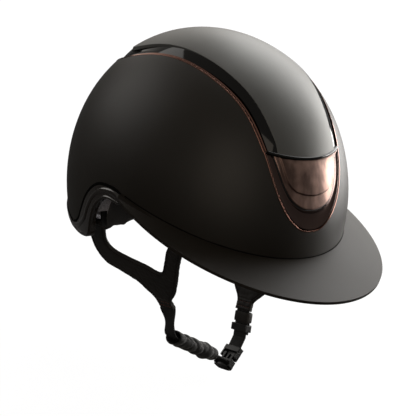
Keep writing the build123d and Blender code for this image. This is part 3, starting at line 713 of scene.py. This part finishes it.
def trim_route(share, offset):
    """A line along the trim from ear to ear. Share 0 is the shell's edge and 1 the trim's lower edge."""
    shell_y, shell_z = even_run(SHELL_LINE, NOTCH_POINTS)
    trim_y, trim_z = even_run(TRIM_LINE, NOTCH_POINTS)
    tail_start, shell_end = SHELL_LINE[-1]
    trim_end = TRIM_LINE[-1][1]
    turns = np.linspace(math.asin(tail_start / NAPE_Y), math.pi / 2, NOTCH_POINTS)[1:]
    tail_y = NAPE_Y * np.sin(turns)
    along_tail = (tail_y - tail_start) / (NAPE_Y - tail_start)
    y = np.concatenate([shell_y + share * (trim_y - shell_y), tail_y])
    top = np.concatenate([shell_z, shell_end + along_tail * (SHELL_NAPE - shell_end)])
    low = np.concatenate([trim_z, trim_end + along_tail * (TRIM_NAPE - trim_end)])
    z = top + share * (low - top)
    deep = np.where(y > 0, 1000 * EGG_REAR, 1000 * EGG_FRONT) + offset
    inside = 1 - (y / deep) ** 2 - ((z - 1000 * WIDEST) / (1000 * EGG_HEIGHT + offset)) ** 2
    x = (1000 * EGG_HALF_WIDTH + offset) * np.sqrt(np.clip(inside, 0, 1))
    right = [Vector((-a, b, c)) / 1000 for a, b, c in zip(x, y, z)]
    return right + [Vector((-point.x, point.y, point.z)) for point in reversed(right) if point.x < -0.0005]


# %% Beads swept
def egg_bead(name, route, wide, high, finish):
    """A bead of oval section along a route on the shell's egg, in millimetres."""
    across = [outward(point, **SHELL_EGG).cross(ahead_of(route, index)) for index, point in enumerate(route)]
    mesh = sweep(name, route, across, oval(wide / 1000, high / 1000))
    dress(name, mesh, finish, "trim_gloss", "helmet")


# Painted shade: a near-black matt finish with almost no reflection, for the dark gaps at the trim's groove
# and the brim's joint.
shade = Finish("groove_shade")
shade_speckle = shade.speckle(shade.place(), 300.0)
painted_shade_finish = shade.set(Base_Color=shade.blend_colour(shade_speckle, (0.001, 0.001, 0.001), (0.0025, 0.0023, 0.002)),
                          Roughness=0.85 + 0.1 * shade_speckle, Normal=shade.relief(shade_speckle, 0.2, 0.0001),
                          Specular_IOR_Level=0.05)
# A near-black matt bead: painted shade in the groove at the shell's edge.
egg_bead("trim_groove_painted_shade", trim_route(0.02, 0.15), 1.3, 0.7, painted_shade_finish)
egg_bead("trim_upper_bead", trim_route(0.42, -0.1), 2.6, 1.5, trim_finish)
egg_bead("trim_lower_bead", trim_route(0.93, -0.3), 1.5, 1.6, trim_finish)
print("three beads swept")

# %% [markdown]
# ## Seam of the brim
# The brim meets the shell in a fine joint, whose shade is painted as a near-black matt bead. Its line is
# found
# on the model itself: going round the front, each step walks down the egg and looks inward until the brim is
# met before the shell.

# %% Brim joint
JOINT_TURN = math.radians(84)
JOINT_STEPS, JOINT_DROPS = 121, 260
JOINT_TOP, JOINT_LOW = 0.015, -0.075
LOOK_FROM, JUST_PROUD = 0.06, 0.0002


def brim_joint():
    """The line on the shell where the brim begins, from ear to ear."""
    rim = merged_copy("brim")
    corners = [vertex.co for vertex in rim.vertices]
    tree = BVHTree.FromPolygons(corners, [tuple(face.vertices) for face in rim.polygons])
    route = []
    for turn in np.linspace(-JOINT_TURN, JOINT_TURN, JOINT_STEPS):
        for level in np.linspace(JOINT_TOP, JOINT_LOW, JOINT_DROPS):
            ring = math.sqrt(1 - ((level - WIDEST) / EGG_HEIGHT) ** 2)
            x, y = EGG_HALF_WIDTH * ring * math.sin(turn), -EGG_FRONT * ring * math.cos(turn)
            point = Vector((x, y, level))
            way = outward(point, **SHELL_EGG)
            hit, _, _, depth = tree.ray_cast(point + LOOK_FROM * way, -way)
            if hit is not None and depth < LOOK_FROM + JUST_PROUD:
                route.append(point + JUST_PROUD / 2 * way)
                break
    bpy.data.meshes.remove(rim)
    for _ in range(3):
        route[1:-1] = [(a + 2 * b + c) / 4 for a, b, c in zip(route, route[1:], route[2:])]
    return route


joint_route = brim_joint()
# A near-black matt bead along the joint: painted shade in the gap between brim and shell.
egg_bead("brim_joint", joint_route, 0.9, 0.5, painted_shade_finish)
print("brim joint points", len(joint_route))

# %% [markdown]
# ## Where the harness lies
# Each half of the harness hangs from two bars on one line. Every soft piece is drawn in that frame: along
# the line, down the strap, and out of its face. The chin strap lies in the plane across the line.

# %% Harness frames
HINGE_X = 0.082
HINGE_FRONT = Vector((0, -0.060, -0.010))
HINGE_REAR = Vector((0, 0.032, -0.050))
along = (HINGE_REAR - HINGE_FRONT).normalized()
upward = Vector((0, -along.z, along.y))
TAB_CENTRE = 0.069
LEAN = {"right": math.radians(35.1), "left": math.radians(16.0)}
SIDE = {"right": -1, "left": 1}


def strap_matrix(which):
    """From (along, down, out) to the helmet's own directions, for one Y strap."""
    side, lean = SIDE[which], LEAN[which]
    down = -math.cos(lean) * upward + Vector((-side * math.sin(lean), 0, 0))
    out = along.cross(down)
    place = HINGE_FRONT + Vector((side * HINGE_X, 0, 0))
    return Matrix.Translation(place) @ Matrix((along, down, out)).transposed().to_4x4()


def chin(x, level, width=0.0):
    """A point of the chin strap's plane, moved forward by width. All in millimetres."""
    middle = HINGE_FRONT + along * TAB_CENTRE
    return middle + Vector((x, 0, 0)) / 1000 + upward * level / 1000 - along * width / 1000


print("strap frames ready")

# %% [markdown]
# ## Leather straps
# A Y strap is two layers of synthetic leather sewn round their edge, with a rolled bead along it. The flat
# outline is filled and given a thickness, then remeshed into small even faces so that the bead, its groove
# and the wrinkles can be pushed into it. The top of each arm is a roll round its bar.

# %% Leather
def leather(name, dark, light, grain):
    finish = Finish(name)
    spot = finish.place()
    pebble = finish.cells("SMOOTH_F1", spot, grain)
    drift = finish.speckle(spot, 30.0)
    fine = finish.speckle(spot, 2400.0, 2.0)
    colour = finish.blend_colour(drift.step(0.25, 0.75) * 0.7 + 0.3 * pebble, dark, light)
    return finish.set(Base_Color=colour, Roughness=0.46 + 0.16 * (drift - 0.5) + 0.08 * fine,
                      Normal=finish.relief(pebble + 0.3 * fine, 0.3, 0.00005), Specular_IOR_Level=0.4)


leather_finish = leather("strap_leather", (0.018, 0.0155, 0.0138), (0.032, 0.0275, 0.0248), 900.0)
print("leather made")

# %% Strap outline
ARM_TOP = -2.6
FRONT_EDGE = [(-9.5, 6.0), (-5.6, 9.8), (12.2, 29.2), (42.2, 66.5), (57.0, 80.0), (59.4, 84.0)]
REAR_EDGE = [(78.6, 84.0), (80.4, 79.5), (84.5, 74.2), (92.5, 65.5), (110.5, 56.8), (126.5, 50.0),
             (131.3, 37.0), (127.9, 21.1), (118.5, 6.0)]
WINDOW = [(97.5, 6.0), (103.5, 14.5), (107.4, 24.0), (103.0, 31.5), (85.4, 37.4), (67.4, 41.6), (54.5, 46.2),
          (48.0, 45.3), (41.4, 40.1), (19.2, 14.2), (8.5, 6.0)]


def arm_end(corner):
    """The top corner of an arm, straight above the point where its edge begins."""
    return [Vector((corner[0], ARM_TOP))]


strap_outline = (arm_end(FRONT_EDGE[0]) + smooth_run(FRONT_EDGE) + smooth_run(REAR_EDGE)
                 + arm_end(REAR_EDGE[-1]) + arm_end(WINDOW[0]) + smooth_run(WINDOW) + arm_end(WINDOW[-1]))
print("strap outline has", len(strap_outline), "points")


# %% Y straps
STRAP_HALF = 1.2
STRAP_VOXEL = 0.55
BEAD = 1.5
BEAD_RISE, GROOVE_DEPTH, FILL_RISE = 0.42, 0.5, 0.35
FILL_START, FILL_RUN, EDGE_ROUND, EDGE_THIN = 2.2, 4.0, 0.9, 0.35
ARM_BODY = 4.0
ROLL_RADIUS = 2.9
SIDES = ("right", "left")


def hill(value, middle, spread):
    """A smooth bump: 1 at the middle and almost nothing two spreads away."""
    return np.exp(-((value - middle) / spread) ** 2)


def strap_half(level, gap):
    """Half the strap's thickness: a rolled bead with a groove beside it, and the roll round the bar."""
    body = level > ARM_BODY
    fill = np.clip((gap - FILL_START) / FILL_RUN, 0, 1)
    bead, groove = hill(gap, BEAD * 0.55, BEAD * 0.42), hill(gap, BEAD * 1.35, BEAD * 0.28)
    sewn = BEAD_RISE * bead - GROOVE_DEPTH * groove + FILL_RISE * fill
    half = STRAP_HALF + np.where(body, sewn, 0)
    round_edge = np.sqrt(np.clip(gap / EDGE_ROUND, 0, 1))
    half = np.where(body & (gap < EDGE_ROUND), half * (EDGE_THIN + (1 - EDGE_THIN) * round_edge), half)
    return np.maximum(half, np.sqrt(np.clip(ROLL_RADIUS ** 2 - level ** 2, 0, None)))


def strap_wrinkles(points):
    """Soft folds, deepest on the front arm and where the two arms meet."""
    place, level = points[:, 0], points[:, 1]
    front_arm = hill(place, 16, 22) * np.clip((level - 6) / 8, 0, 1)
    folds = ripple(points, (0.10, 0.34), 3.7) * 0.55 + ripple(points, (0.33, 0.20), 9.1) * 0.3
    strength = 0.25 + 0.9 * front_arm + 0.5 * hill(level, 62, 18)
    return 0.9 * folds * strength * np.clip((level - ARM_BODY) / 8, 0, 1)


def leather_piece(which, name, node, mesh, points):
    """The mesh with new points, drawn in millimetres in its strap's frame, dressed in leather."""
    write_points(mesh, points / 1000)
    mesh.transform(strap_matrix(which))
    mesh.shade_smooth()
    dress(which + name, mesh, leather_finish, "strap_leather", which + "_harness", which + node)


def y_strap(which):
    mesh = even_plate(strap_outline, 2 * STRAP_HALF, STRAP_VOXEL)
    points = read_points(mesh)
    half = strap_half(points[:, 1], edge_distance(points, strap_outline))
    points[:, 2] = points[:, 2] / STRAP_HALF * half + strap_wrinkles(points)
    leather_piece(which, "_strap_leather", "_y_strap", mesh, points)
    return len(mesh.polygons)


for which in SIDES:
    print(which, "Y strap faces", y_strap(which))

# %% [markdown]
# ## Stitches by rule
# Thread shows as short dashes at an even pitch. A Geometry Nodes tree walks along a line, puts one small
# bead at each step, and turns it to follow the line. The same tree sews every seam; only its three sizes
# change.

# %% Stitch tree
INPUTS = [(size, "NodeSocketFloat") for size in ("Pitch", "Stitch length", "Thread")]
INPUTS.append(("Finish", "NodeSocketMaterial"))


def stitch_tree():
    """The node tree, and the names that a modifier knows its inputs by, in the order of INPUTS."""
    tree = bpy.data.node_groups.new("stitch_row", "GeometryNodeTree")
    face = tree.interface
    face.new_socket("Line", in_out="INPUT", socket_type="NodeSocketGeometry")
    sockets = [face.new_socket(label, in_out="INPUT", socket_type=kind).identifier for label, kind in INPUTS]
    face.new_socket("Stitches", in_out="OUTPUT", socket_type="NodeSocketGeometry")
    make = tree.nodes.new
    given, result = make("NodeGroupInput"), make("NodeGroupOutput")
    steps = make("GeometryNodeResampleCurve")
    steps.mode = "LENGTH"
    way = make("GeometryNodeInputTangent")
    aim = make("FunctionNodeAlignRotationToVector")
    aim.axis = "X"
    bead = make("GeometryNodeMeshIcoSphere")
    bead.inputs["Radius"].default_value = 0.5
    bead.inputs["Subdivisions"].default_value = 2
    size = make("ShaderNodeCombineXYZ")
    row = make("GeometryNodeInstanceOnPoints")
    real = make("GeometryNodeRealizeInstances")
    paint = make("GeometryNodeSetMaterial")
    wires = [(given, "Line", steps, "Curve"), (given, "Pitch", steps, "Length"),
             (steps, "Curve", row, "Points"), (bead, "Mesh", row, "Instance"),
             (way, "Tangent", aim, "Vector"), (aim, "Rotation", row, "Rotation"),
             (given, "Stitch length", size, "X"),
             (given, "Thread", size, "Y"), (given, "Thread", size, "Z"), (size, "Vector", row, "Scale"),
             (row, "Instances", real, "Geometry"), (real, "Geometry", paint, "Geometry"),
             (given, "Finish", paint, "Material"), (paint, "Geometry", result, "Stitches")]
    for source, leaving, target, entering in wires:
        tree.links.new(source.outputs[leaving], target.inputs[entering])
    return tree, sockets


stitch_rule, stitch_sockets = stitch_tree()
print("stitch tree has", len(stitch_rule.nodes), "nodes")


# %% Thread and sewing
def thread(name, dark, light):
    finish = Finish(name)
    twist = finish.waves("DIAGONAL", finish.place(), 1300.0)
    return finish.set(Base_Color=finish.blend_colour(twist, dark, light), Roughness=0.65 + 0.15 * twist,
                      Normal=finish.relief(twist, 0.4, 0.00005))


dark_thread = thread("dark_thread", (0.006, 0.005, 0.005), (0.02, 0.017, 0.016))
brown_thread = thread("brown_thread", (0.10, 0.032, 0.022), (0.22, 0.085, 0.06))


def sew(name, lines, body, finish, stitch):
    """Rows of stitches along lines of points, as one plain mesh. stitch gives its three sizes."""
    curve = bpy.data.curves.new(name + "_line", "CURVE")
    curve.dimensions = "3D"
    for line in lines:
        spline = curve.splines.new("POLY")
        spline.points.add(len(line) - 1)
        for point, place in zip(spline.points, line):
            point.co = (*place, 1)
    piece = link(name + "_line", curve)
    rule = piece.modifiers.new("stitches", "NODES")
    rule.node_group = stitch_rule
    for socket, value in zip(stitch_sockets, (*stitch, finish)):
        rule[socket] = value
    mesh = baked(piece)
    mesh.shade_smooth()
    dress(name, mesh, finish, "strap_leather", body)


def inset_line(outline, inset):
    """The closed outline drawn in by inset, with its crowded inner corners dropped."""
    line = np.array([(point.x, point.y) for point in outline])
    ahead, behind = np.roll(line, -2, axis=0), np.roll(line, 2, axis=0)
    run = ahead - behind
    run /= np.maximum(np.hypot(run[:, 0], run[:, 1]), 1e-9)[:, None]
    area = 0.5 * np.sum(line[:, 0] * np.roll(line[:, 1], -1) - np.roll(line[:, 0], -1) * line[:, 1])
    inward = np.column_stack([-run[:, 1], run[:, 0]]) * (1 if area > 0 else -1)
    moved = line + inward * inset
    return moved[edge_distance(moved, outline) > inset * 0.93]


def on_both_faces(which, lines, height):
    """Lines of points drawn on a strap's flat plan, lifted onto its two faces. All in millimetres."""
    spot = strap_matrix(which)
    return [[spot @ (Vector((x, level, face * height)) / 1000) for x, level in line]
            for face in (-1, 1) for line in lines]


# %% Edge seams
EDGE_SEAM, SEAM_TOP, SEAM_BREAK = 2.9, 5.0, 9.0
SEAM_HEIGHT, SEAM_STITCH = 1.42, (0.0028, 0.0021, 0.00042)
seam = inset_line(strap_outline, EDGE_SEAM)
seam = seam[seam[:, 1] > SEAM_TOP]
breaks = np.where(np.hypot(*np.diff(seam, axis=0).T) > SEAM_BREAK)[0] + 1
seam_parts = [part for part in np.split(seam, breaks) if len(part) > 2]
for which in SIDES:
    rows = on_both_faces(which, seam_parts, SEAM_HEIGHT)
    sew(which + "_edge_stitches", rows, which + "_harness", dark_thread, SEAM_STITCH)
print("edge seams sewn")

# %% Folded tabs
TAB_HALF = 9.7
TAB_TOP, TAB_END = 79.6, 90.0
TAB_THICK = 4.3
TAB_ROWS = (82.4, 86.8)
TAB_MIDDLE = 1000 * TAB_CENTRE
TAB_EDGE, TAB_ROUND, TAB_RIPPLE = 0.62, 1.5, 0.25
ROW_DEPTH, ROW_WIDTH, ROW_REACH = 0.3, 0.6, 7.5
TAB_HEIGHT, TAB_STITCH = 2.05, (0.0026, 0.002, 0.0006)


def strap_tab(which):
    left, right = TAB_MIDDLE - TAB_HALF, TAB_MIDDLE + TAB_HALF
    corners = (left, TAB_TOP), (right, TAB_TOP), (right, TAB_END), (left, TAB_END)
    outline = [Vector(corner) for corner in corners]
    mesh = even_plate(outline, TAB_THICK, FINE_VOXEL)
    points = read_points(mesh)
    gap = edge_distance(points, outline)
    half = TAB_THICK / 2 * (TAB_EDGE + (1 - TAB_EDGE) * np.sqrt(np.clip(gap / TAB_ROUND, 0, 1)))
    half -= ROW_DEPTH * sum(hill(points[:, 1], row, ROW_WIDTH) for row in TAB_ROWS)
    points[:, 2] = points[:, 2] / (TAB_THICK / 2) * half + TAB_RIPPLE * ripple(points, (0.3, 0.5), 5.5)
    leather_piece(which, "_tab_leather", "_strap_tab", mesh, points)
    lines = [[(TAB_MIDDLE + step, row) for step in (-ROW_REACH, 0.0, ROW_REACH)] for row in TAB_ROWS]
    sew(which + "_tab_stitches", on_both_faces(which, lines, TAB_HEIGHT), which + "_harness", brown_thread,
        TAB_STITCH)


for which in SIDES:
    strap_tab(which)
print("tabs folded and sewn")

# %% [markdown]
# ## Webbing
# Chin webbing is a flat woven band with fine ribs across it and a firmer edge. It is drawn as a band that
# follows a smoothed route; its own map says how far across and along each point lies, so the weave follows
# every bend.

# %% Webbing finish
weave = Finish("webbing")
band_spot = weave.cloth_place()
lint = weave.speckle(weave.place(), 900.0)
rise = weave.waves("Y", band_spot, 230.0, 0.6) * 0.65 + weave.waves("X", band_spot, 330.0) * 0.35
yarn = weave.blend_colour(rise * 0.7 + 0.3 * lint, (0.004, 0.0038, 0.004), (0.017, 0.0165, 0.017))
webbing_finish = weave.set(Base_Color=yarn, Roughness=0.62 + 0.2 * lint,
                           Normal=weave.relief(rise, 0.7, 0.00018))
print("webbing's weave made")


# %% Bands
WEBBING_WIDTH, WEBBING_THICK = 16.0, 2.0


def rounded_route(corners, passes=4):
    """The route with its corners cut again and again until it runs smoothly."""
    route = [Vector(corner) for corner in corners]
    for _ in range(passes):
        cut = [route[0]]
        for start, end in zip(route, route[1:]):
            cut += [start.lerp(end, 0.25), start.lerp(end, 0.75)]
        route = cut + [route[-1]]
    return route


def flat_section(width, thickness):
    """The section of a woven band, thinner at its two edges."""
    ring = []
    for k in range(9):
        share = k / 4 - 1
        ring.append((share * width / 2, thickness / 2 * (1 - 0.55 * abs(share) ** 6)))
    return ring + [(x, -y) for x, y in reversed(ring)]


def band(name, corners, body, node, twist=None):
    """A band along corners of the chin strap's plane, in millimetres."""
    route = rounded_route([chin(*corner) for corner in corners])
    across = []
    for index in range(len(route)):
        angle = math.radians(twist(index / (len(route) - 1))) if twist else 0.0
        across.append(Matrix.Rotation(angle, 3, ahead_of(route, index).normalized()) @ -along)
    mesh = sweep(name, route, across, flat_section(WEBBING_WIDTH / 1000, WEBBING_THICK / 1000))
    dress(name, mesh, webbing_finish, "webbing", body, node)


# %% Right webbing
RIGHT_END = (-30.5, -73.8)
EXIT = (20.93, -121.85)
TONGUE = (37.0, -131.82)
BUCKLE_ANGLE = math.radians(48)


def in_buckle(along_it, out):
    """A point of the chin plane given along the buckle and out of its face."""
    return (TONGUE[0] + along_it * math.cos(BUCKLE_ANGLE) - out * math.sin(BUCKLE_ANGLE),
            TONGUE[1] + along_it * math.sin(BUCKLE_ANGLE) + out * math.cos(BUCKLE_ANGLE))


def right_twist(share):
    """Degrees of twist that the right webbing takes below its tab."""
    return 12 * math.exp(-((share - 0.17) / 0.06) ** 2) - 16 * math.exp(-((share - 0.04) / 0.06) ** 2)


right_corners = [RIGHT_END, (-28.8, -81.0), (-27.4, -90.0), (-26.9, -99.0), (-22.0, -102.6), (0.0, -112.4),
                 EXIT, (27.3, -124.9)]
buckle_corners = [(0, 6.0), (0, 0), (0, -4.4), (-2.3, -4.7), (-4.7, -4.4), (-4.7, 3.0)]
right_corners += [in_buckle(*corner) for corner in buckle_corners]
band("right_webbing_weave", right_corners, "right_harness", "right_webbing", right_twist)
print("right webbing woven")

# %% Left webbing and its tail
LEFT_END = Vector((57.2, -86.6))
RUN_ANGLE = math.radians(-98.5)
RUN = Vector((math.cos(RUN_ANGLE), math.sin(RUN_ANGLE)))
OUT = Vector((-RUN.y, RUN.x))
RUN_BEND = 23.4
TAIL_OUT = 2.35


def on_run(distance, out=0.0):
    """A point beside the straight part of the left webbing, in millimetres."""
    return LEFT_END + RUN * distance + OUT * out


left_corners = [on_run(0), on_run(12), on_run(RUN_BEND), on_run(RUN_BEND + 1), in_buckle(16.8, 0)]
band("left_webbing_weave", left_corners, "left_harness", "left_webbing")
tail_corners = [on_run(distance, TAIL_OUT) for distance in (1.0, 12.0, 21.4)]
band("webbing_tail_weave", tail_corners, "left_harness", "webbing_tail")
print("left webbing woven")

# %% Keeper band
KEEPER_MIDDLE = 6.0
KEEPER_HALF_WIDE, KEEPER_HALF_HIGH = 8.8, 3.1
KEEPER_OUT = 1.2
KEEPER_LENGTH, KEEPER_WALL = 0.0088, 0.001


def squared(value):
    """A cosine or sine pushed outward, so that a circle made of them is nearly a rectangle."""
    return math.copysign(abs(value) ** 0.35, value)


ring = []
for angle in np.linspace(0, 2 * math.pi, 48, endpoint=False):
    x, level = on_run(KEEPER_MIDDLE, KEEPER_OUT + KEEPER_HALF_HIGH * squared(math.sin(angle)))
    ring.append(chin(x, level, KEEPER_HALF_WIDE * squared(math.cos(angle))))
run_way = chin(*on_run(10)) - chin(*on_run(0))
keeper = sweep("keeper", ring, [run_way] * len(ring), flat_section(KEEPER_LENGTH, KEEPER_WALL), closed=True)
dress("keeper_leather", keeper, leather_finish, "strap_leather", "left_harness", "keeper_band")
print("keeper band made")

# %% [markdown]
# ## Chin sleeve
# A padded knitted tube slides on the webbing. It is drawn as a closed tube with a real wall: the outer skin
# carries cross folds that deepen under it, the mouth is a soft rolled edge, and the inside is a spacer
# mesh.

# %% Sleeve finishes
knit = Finish("sleeve_cloth")
knit_spot = knit.cloth_place()
fluff = knit.speckle(knit.place(), 300.0)
loops = knit.waves("X", knit_spot, 420.0, 1.5) * 0.5 + knit.waves("Y", knit_spot, 520.0, 1.5) * 0.5
knit_colour = knit.blend_colour(loops * 0.5 + 0.5 * fluff, (0.004, 0.004, 0.0042), (0.0145, 0.014, 0.0145))
sleeve_finish = knit.set(Base_Color=knit_colour, Roughness=0.72 + 0.18 * fluff, Sheen_Weight=0.25,
                         Normal=knit.relief(loops, 0.5, 0.00012))
spacer = Finish("spacer_mesh")
net = spacer.cells("DISTANCE_TO_EDGE", spacer.cloth_place(), 520.0, 0.15).step(0.05, 0.22)
spacer_finish = spacer.set(Base_Color=spacer.blend_colour(net, (0.05, 0.05, 0.052), (0.004, 0.004, 0.004)),
                           Roughness=0.7 + 0.1 * net, Normal=spacer.relief(net, -0.6, 0.0004))
print("two sleeve cloths made")

# %% Sleeve form
MOUTH = Vector((-23.26, -101.62))
SLEEVE_LENGTH = 48.6
SLEEVE_SLOPE = math.radians(-24.6)
sleeve_way = Vector((math.cos(SLEEVE_SLOPE), math.sin(SLEEVE_SLOPE)))
sleeve_up = Vector((-sleeve_way.y, sleeve_way.x))
HALF_WIDE, HALF_HIGH, WALL = 9.7, 5.9, 0.7
TAPER_START, TAPER_LENGTH = 42.0, 6.6
CREASES = [(7.0, 1.3, 1.5, 0.4, 2.6), (12.5, 0.9, 1.2, 2.4, -2.4), (16.5, 1.1, 1.2, 4.2, 1.8),
           (21.5, 1.4, 1.6, 0.9, -2.8), (26.0, 1.0, 1.2, 3.1, 2.4), (30.0, 1.5, 1.6, 5.0, -1.6),
           (34.5, 1.3, 1.3, 2.0, 2.0), (42.2, 1.2, 1.1, 1.2, 1.4)]


def taper(distance):
    """How far the sleeve has closed in on the webbing, from 0 to 1."""
    return float(np.clip((distance - TAPER_START) / TAPER_LENGTH, 0, 1)) ** 1.5


def sleeve_relief(around, distance):
    """How much the outer skin stands out or dips, in millimetres. A crease is given by its place along the
    sleeve, its depth and width, where round the sleeve it is deepest, and how far it slants."""
    dip = 0.0
    for middle, depth, width, turn_at, skew in CREASES:
        facing = 0.5 + 0.5 * math.cos(around - turn_at)
        off = distance - middle - skew * math.sin(around)
        dip -= depth * (0.25 + 0.75 * facing) * math.exp(-(off / width) ** 2)
    swell = 0.5 * math.sin(distance * 0.55 + around) + 1.9 * math.exp(-((distance - 38.5) / 3.6) ** 2)
    swell -= 3.4 * taper(distance)
    grain = 0.5 * noise.noise(Vector((math.cos(around) * 1.6, math.sin(around) * 1.6, distance * 0.22)))
    return dip + 0.55 * swell + grain


def sleeve_point(around, distance, outside):
    """A point of the sleeve's outer or inner skin, whose two skins meet in a rolled edge at each end."""
    ends = min(distance, SLEEVE_LENGTH - distance)
    lip = WALL * math.sqrt(min(ends / 1.2, 1.0))
    if outside:
        grow = sleeve_relief(around, distance) * min(ends / 2.5, 1.0)
    else:
        lip, grow = -lip, -1.9 * taper(distance)
    wide = (HALF_WIDE + lip + grow * 0.45) * math.cos(around)
    level = (HALF_HIGH + lip + grow) * math.sin(around)
    spot = MOUTH + sleeve_way * distance + sleeve_up * level
    return chin(spot.x, spot.y, wide)


print("sleeve drawn with", len(CREASES), "creases")

# %% Sleeve
AROUND, LENGTHWAYS = 96, 130
MAP_RADIUS = 0.008
points, spots = [], []
steps_out = list(range(LENGTHWAYS + 1))
out_and_back = [(True, step) for step in steps_out] + [(False, step) for step in reversed(steps_out)]
for outside, step in out_and_back:
    distance = step / LENGTHWAYS * SLEEVE_LENGTH
    for k in range(AROUND):
        around = 2 * math.pi * k / AROUND
        points.append(sleeve_point(around, distance, outside))
        spots.append((around * MAP_RADIUS, distance / 1000))
sleeve = ringed_mesh("chin_sleeve_cloth", points, spots, AROUND, closed=True)
sleeve_piece = dress("chin_sleeve_cloth", sleeve, sleeve_finish, "sleeve_cloth", "chin_sleeve_body",
                     "chin_sleeve")
sleeve.materials.append(spacer_finish)
for face in sleeve.polygons:
    face.material_index = 1 if face.index >= (LENGTHWAYS + 1) * AROUND else 0
faced_outward(sleeve, merge=1e-6)
sleeve.shade_smooth()
print("sleeve faces", len(sleeve.polygons))

# %% [markdown]
# ## Comfort pads
# Each pad is a thin cushion. Its solid is remeshed into even faces and blown up a little by the cloth
# solver with gravity off; the movement is capped so that it stays in its place. Without the solver a pad
# looks like a tile.

# %% Pad finish
mesh_cloth = Finish("pad_cloth")
dots = mesh_cloth.cells("F1", mesh_cloth.place(), 620.0, 0.2).step(0.2, 0.55)
nap = mesh_cloth.speckle(mesh_cloth.place(), 120.0)
pad_colour = mesh_cloth.blend_colour(dots * 0.7 + 0.3 * nap, (0.006, 0.006, 0.0063), (0.024, 0.0236, 0.0248))
pad_finish = mesh_cloth.set(Base_Color=pad_colour, Roughness=0.78 + 0.12 * nap, Sheen_Weight=0.2,
                            Normal=mesh_cloth.relief(dots, 0.5, 0.0002))
print("pad cloth made")


# %% Blowing up a pad
EAR_REACH, EAR_DROP = 0.010, 0.013
PAD_VOXEL, PAD_CAP, PAD_INSET = 0.0045, 0.0035, 0.0012
PRESSURE, STEPS = 4, 20


def drawn_back(points, low, high):
    """A side pad stretched back and down beside the ear, as its cloth hangs there."""
    back = np.clip((points[:, 1] - low[1]) / (high[1] - low[1]), 0, 1) ** 2
    points[:, 1] += EAR_REACH * back
    points[:, 2] -= EAR_DROP * back * np.clip((high[2] - points[:, 2]) / (high[2] - low[2]), 0, 1)


def blown_up(mesh, name):
    """The mesh after the cloth solver has swollen it, with no point moved further than the cap."""
    piece = link(name, mesh)
    start = read_points(mesh)
    cloth = piece.modifiers.new("cloth", "CLOTH")
    cloth.settings.use_pressure = True
    cloth.settings.uniform_pressure_force = PRESSURE
    cloth.settings.effector_weights.gravity = 0
    scene = bpy.context.scene
    for step in range(1, STEPS + 1):
        scene.frame_set(step)
    swollen = baked(piece)
    move = read_points(swollen) - start
    scene.frame_set(1)
    size = np.maximum(np.linalg.norm(move, axis=1), 1e-9)
    write_points(swollen, start + move * np.minimum(1, PAD_CAP / size)[:, None])
    return swollen


# %% Pads
def pad(node):
    name = node + "_cushion"
    low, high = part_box(node)
    broad = high[0] - low[0] > 0.03
    piece = link(name, merged_copy(node))
    even_faces(piece, PAD_VOXEL if broad else PAD_VOXEL / 2)
    melt = piece.modifiers.new("melt", "SMOOTH")
    melt.factor = 0.6
    melt.iterations = 4 if broad else 12
    mesh = baked(piece)
    start = read_points(mesh) - PAD_INSET * np.array([tuple(vertex.normal) for vertex in mesh.vertices])
    if "side" in node:
        drawn_back(start, low, high)
    write_points(mesh, start)
    mesh = blown_up(mesh, name)
    mesh.shade_smooth()
    piece = dress(name, mesh, pad_finish, "pad_cloth", "helmet", node)
    smooth = piece.modifiers.new("smooth", "SUBSURF")
    smooth.levels = smooth.render_levels = 1
    return len(mesh.polygons)


for node in ("crown_pad", "brow_pad", "nape_pad", "right_side_pad", "left_side_pad"):
    print(node, "faces", pad(node))

# %% Hook-and-loop dots
pile = Finish("loop_pile")
tuft = pile.speckle(pile.place(), 2600.0, 4.0)
pile_finish = pile.set(Base_Color=pile.blend_colour(tuft, (0.005, 0.005, 0.005), (0.03, 0.03, 0.03)),
                       Roughness=0.8 + 0.15 * tuft, Normal=pile.relief(tuft, 0.9, 0.0003))
skin("liner_dots", pile_finish, SHELL_EGG)
print("dots made")

# %% [markdown]
# ## Floor
# A pale floor lies under the chin strap.

# %% Floor
FLOOR_LEVEL = cad_low[2] - 0.004
FLOOR_REACH = 6.0
floor_mesh = bpy.data.meshes.new("floor")
corners = [(x * FLOOR_REACH, y * FLOOR_REACH, FLOOR_LEVEL) for x, y in ((-1, -1), (1, -1), (1, 1), (-1, 1))]
floor_mesh.from_pydata(corners, [], [(0, 1, 2, 3)])
floor = link("floor", floor_mesh)
floor_paint = Finish("floor_paint")
straight = floor_paint.node("ShaderNodeLightPath", {})
below = floor_paint.node("ShaderNodeNewGeometry", {}, output="Backfacing")
floor_paint.set(Base_Color=(0.06, 0.06, 0.06), Roughness=0.9, Specular_IOR_Level=0.0,
                Emission_Color=(1, 1, 1), Emission_Strength=0.97 * straight, Alpha=1 - below)
floor_mesh.materials.append(floor_paint.material)
print("floor at", round(FLOOR_LEVEL, 4), "m")
